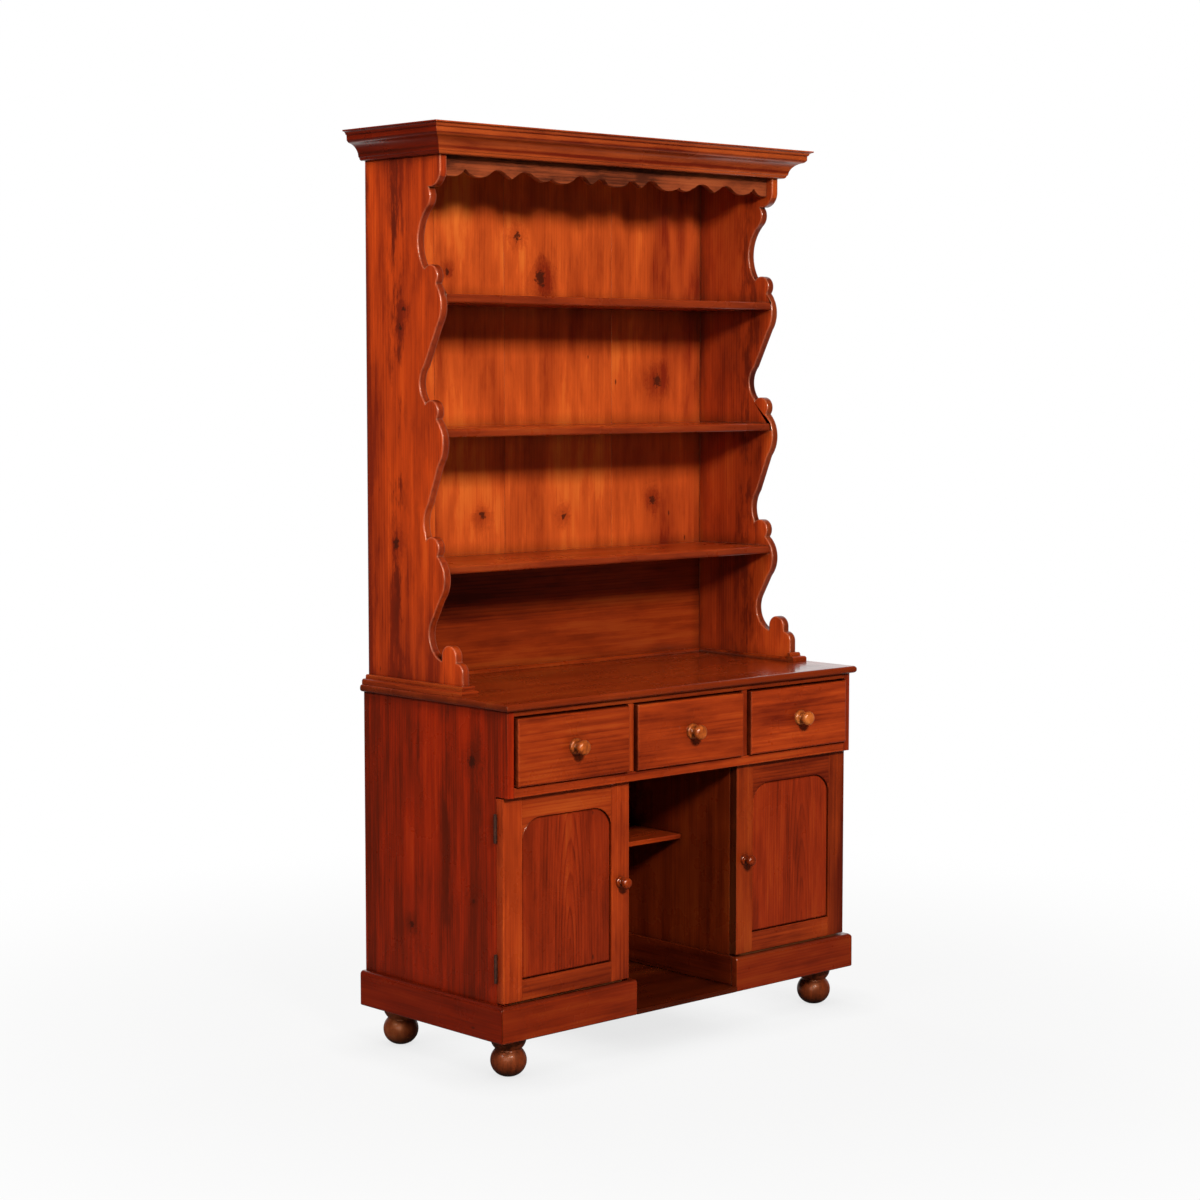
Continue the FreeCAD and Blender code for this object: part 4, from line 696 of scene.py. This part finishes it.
def drive(name, points, radius, height, slot_width, towards, seed, metal, body):
    """Screws or nails at the given points, with heads that face the front (-1) or the back (1)."""
    marks = bpy.data.meshes.new(name + "_points")
    marks.from_pydata(points, [], [])
    carrier = bpy.data.objects.new(name + "_points", marks)
    scene.collection.objects.link(carrier)
    nodes = carrier.modifiers.new("heads", "NODES")
    nodes.node_group = driven_heads
    keys = {item.name: item.identifier for item in driven_heads.interface.items_tree
            if item.in_out == "INPUT"}
    values = {"Head Radius": radius, "Head Height": height, "Slot Width": slot_width,
              "Facing": (-towards * math.pi / 2, 0.0, 0.0), "Seed": seed, "Metal": metal}
    for socket, value in values.items():
        nodes[keys[socket]] = value
    ready = carrier.evaluated_get(bpy.context.evaluated_depsgraph_get())
    mesh = bpy.data.meshes.new_from_object(ready)
    carrier.modifiers.clear()
    bpy.data.objects.remove(carrier)
    piece = bpy.data.objects.new(name, mesh)
    scene.collection.objects.link(piece)
    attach(piece, body)
    return piece


screw_brass = old_brass("screw_brass")
for name, sides, face, towards, body in (("fixed_leaf_screws", (-1, 1), CASE_LEAF_FACE, -1, "carcass"),
                                         ("left_leaf_screws", (-1,), DOOR_LEAF_FACE, 1, "left_door"),
                                         ("right_leaf_screws", (1,), DOOR_LEAF_FACE, 1, "right_door")):
    points = [(side * across, face, level + rise) for side in sides for level in HINGE_LEVELS
              for across, rise in SCREW_SPOTS]
    drive(name, points, SCREW_RADIUS, SCREW_HEIGHT, SCREW_SLOT, towards, 5, screw_brass, body)

# The plate rack's sides: pine boards with upright grain whose front edges are sawn to
# bulges, waists and small lobes, with a finger at the foot, and then rounded over. Dark
# streaks run along the left one.
SAWN_EASE = 0.0085
ROUNDED_OVER = 0.008
BELOW_CORNICE = 2.018
# Their rounded edges carry a pale painted line, partly wear and partly a painted highlight.
left_pine = stained_pine("hutch_left_pine", "yxz", 121, 1.24, 0.0, rough=0.34, smudge=0.15, coat=0.1,
                         patches=0.9, depth=0.16, light=(0.46, 0.046, 0.005, 1),
                         gold=(0.56, 0.078, 0.009, 1), streaks=0.9,
                         dark_lines_and_shade=((0.17, 0.022, 0.55, 0.1), (0.278, 0.012, 0.5, 0.6)),
                         knots_at=((0.143, 1.725, 0.008), (0.156, 1.683, 0.007), (0.177, 1.188, 0.008)),
                         edge_round_and_highlight=ROUNDED_OVER, dirty_edge=(0.45, *ALL_OVER), dirty_top=BELOW_CORNICE)
worn("hutch_side_left", left_pine, SAWN_EASE, steps=6)
right_pine = stained_pine("hutch_right_pine", "yxz", 122, 0.83, 0.0, rough=0.34, smudge=0.15, coat=0.1,
                          patches=1.0, streaks=0.6, dark_lines_and_shade=((0.09, 0.04, 0.4, 0.4),),
                          edge_round_and_highlight=ROUNDED_OVER, dirty_edge=(0.45, *ALL_OVER), dirty_top=BELOW_CORNICE)
worn("hutch_side_right", right_pine, SAWN_EASE, steps=6)

# Three plate shelves of pine with a rounded front edge, housed in the sides, and the bare
# board over the top of the rack.
for number, level in enumerate(("lower", "middle", "upper")):
    shelf_pine = stained_pine("shelf_%s_pine" % level, "yzx", 131 + number, 0.8, 0.05, bumps=0.15,
                              streaks=0.7, dirty_edge=(0.3, *ALL_OVER))
    worn("hutch_shelf_" + level, shelf_pine, 0.0008)
worn("hutch_top_board", bare_pine("top_board_pine", "yzx", 135, 0.8))

# The back of the rack: upright pine planks of mixed width above the lowest shelf, and one
# board with level grain below it. They are stained in front and bare behind.
# The broad even dark line towards the right end of the planks is painted shade.
worn("hutch_back_planks", stained_pine("plank_pine", "xyz", 141, 1.15, 0.0, light=(0.51, 0.076, 0.011, 1),
                                       gold=(0.70, 0.175, 0.024, 1), rings=0.12, streaks=0.35,
                                       patches=0.8, bare_back=True, rough=0.38, coat=0.08,
                                       dark_lines_and_shade=((0.5, 0.2, 0.22, 1.0),),
                                       knots_at=((-0.098, 1.909, 0.009), (-0.023, 1.81, 0.011),
                                                 (0.375, 1.56, 0.009), (0.053, 1.225, 0.008),
                                                 (-0.212, 1.239, 0.007), (0.358, 1.256, 0.008),
                                                 (-0.316, 1.82, 0.006))), 0.0006)
worn("hutch_back_lower_board", stained_pine("lower_board_pine", "zyx", 142, 0.5, 0.1, bare_back=True,
                                            rough=0.36, coat=0.1), 0.0008)

# Cut nails with flat iron heads hold the back boards to the case, two across each board
# in a row at the top, at the foot and at every shelf behind it.
NAIL_RADIUS = 0.0027
NAIL_HEIGHT = 0.0011
NAIL_INSETS = (0.03, 0.026)
NAIL_STRAYS = (0.003, -0.002)
NAIL_ROWS = (("base_back_boards", (0.104, 0.118, 0.474, 0.822)),
             ("hutch_back_planks", (1.146, 1.413, 1.703, 2.104)))
LOWER_BOARD_BACK = 0.2765
LOWER_BOARD_ACROSS = (0.545, 0.3, 0.09)
LOWER_BOARD_ROWS = (0.872, 1.116)


def rusted_iron():
    """Iron gone brown, with a rough skin."""
    material = blank_material("rusted_iron")
    tree = material.node_tree
    rust = noise(tree, put(tree, "ShaderNodeTexCoord", out=3), 420.0, 4.0, 0.6)
    tint = put(tree, "ShaderNodeValToRGB", (rust,))
    ramp = tint.node.color_ramp
    ramp.elements[0].position = 0.4
    ramp.elements[0].color = (0.022, 0.016, 0.013, 1)
    ramp.elements[1].position = 0.62
    ramp.elements[1].color = (0.11, 0.042, 0.02, 1)
    bump = put(tree, "ShaderNodeBump", {"Strength": 0.5, "Distance": 0.0004, "Height": rust})
    show(tree, put(tree, "ShaderNodeBsdfPrincipled", {"Base Color": tint, "Normal": bump, "Roughness": 0.7,
                                                      "Metallic": 0.3}))
    return material


nail_points = []
for node, levels in NAIL_ROWS:
    work = bmesh.new()
    work.from_mesh(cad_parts[node].data)
    bmesh.ops.remove_doubles(work, verts=work.verts, dist=WELD)
    for board, low, high in separate_boards(work):
        for level in levels:
            nail_points += [(low.x + NAIL_INSETS[0], high.y, level + NAIL_STRAYS[0]),
                            (high.x - NAIL_INSETS[1], high.y, level + NAIL_STRAYS[1])]
    work.free()
nail_points += [(side * across, LOWER_BOARD_BACK, level) for side in (-1, 1)
                for across in LOWER_BOARD_ACROSS for level in LOWER_BOARD_ROWS]
drive("back_nails", nail_points, NAIL_RADIUS, NAIL_HEIGHT, 0.0, 1, 9, rusted_iron(), "carcass")

# The scalloped valance under the cornice, sawn from one pine board with level grain and
# fixed between the sides. It is darker and duller than the rest.
worn("hutch_valance", stained_pine("valance_pine", "zyx", 151, 0.82, 0.0, smudge=0.3, patches=1.0,
                                   rough=0.42, coat=0.05, rings=0.4, dark=(0.09, 0.018, 0.008, 1),
                                   light=(0.36, 0.070, 0.022, 1), gold=(0.5, 0.12, 0.036, 1)), 0.0012)

# The cornice: a pine moulding, mitred at the front corners and nailed to the top of the
# rack. Shade is painted dark into its grooves, each given by its height, width, strength
# and how even it is, and deeper painted shade fills its inner corners.
GROOVE_SHADE = ((2.0823, 0.004, 0.35, 1.0), (2.1099, 0.0025, 0.35, 1.0), (2.1224, 0.002, 0.35, 1.0),
           (2.1303, 0.0015, 0.3, 1.0))
worn("cornice_front", stained_pine("cornice_front_pine", "zyx", 161, 0.84, 0.0, grime_and_shade=0.95, streaks=0.5,
                                   patches=0.4, rings=0.1, dark_lines_and_shade=GROOVE_SHADE,
                                   light=(0.54, 0.088, 0.016, 1)), 0.0006)
# The returns get about half the front's tone, as painted shade on the cornice's side.
worn("cornice_returns", stained_pine("cornice_return_pine", "zxy", 162, 0.4, 0.05, light=SIDE_LIGHT,
                                     gold=SIDE_GOLD, grime_and_shade=0.95, dark_lines_and_shade=GROOVE_SHADE, streaks=0.6,
                                     patches=0.4, rings=0.1), 0.0006)

# The small pine mouldings nailed round the foot of the rack, which hold it in place on the
# worktop, and a quarter-round bead in the corner where its sides and back meet the worktop.
worn("foot_moulding_sides", stained_pine("foot_moulding_side_pine", "zxy", 163, 0.6, 0), 0.0006)
worn("foot_moulding_fronts", stained_pine("foot_moulding_front_pine", "zyx", 164, 0.7, 0), 0.0006)
worn("counter_bead", stained_pine("counter_bead_pine", "zyx", 165, 0.6, 0), 0.0004)

low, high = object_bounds()
{"cad": [list(cad_low), list(cad_high)], "visual": [list(low), list(high)]}
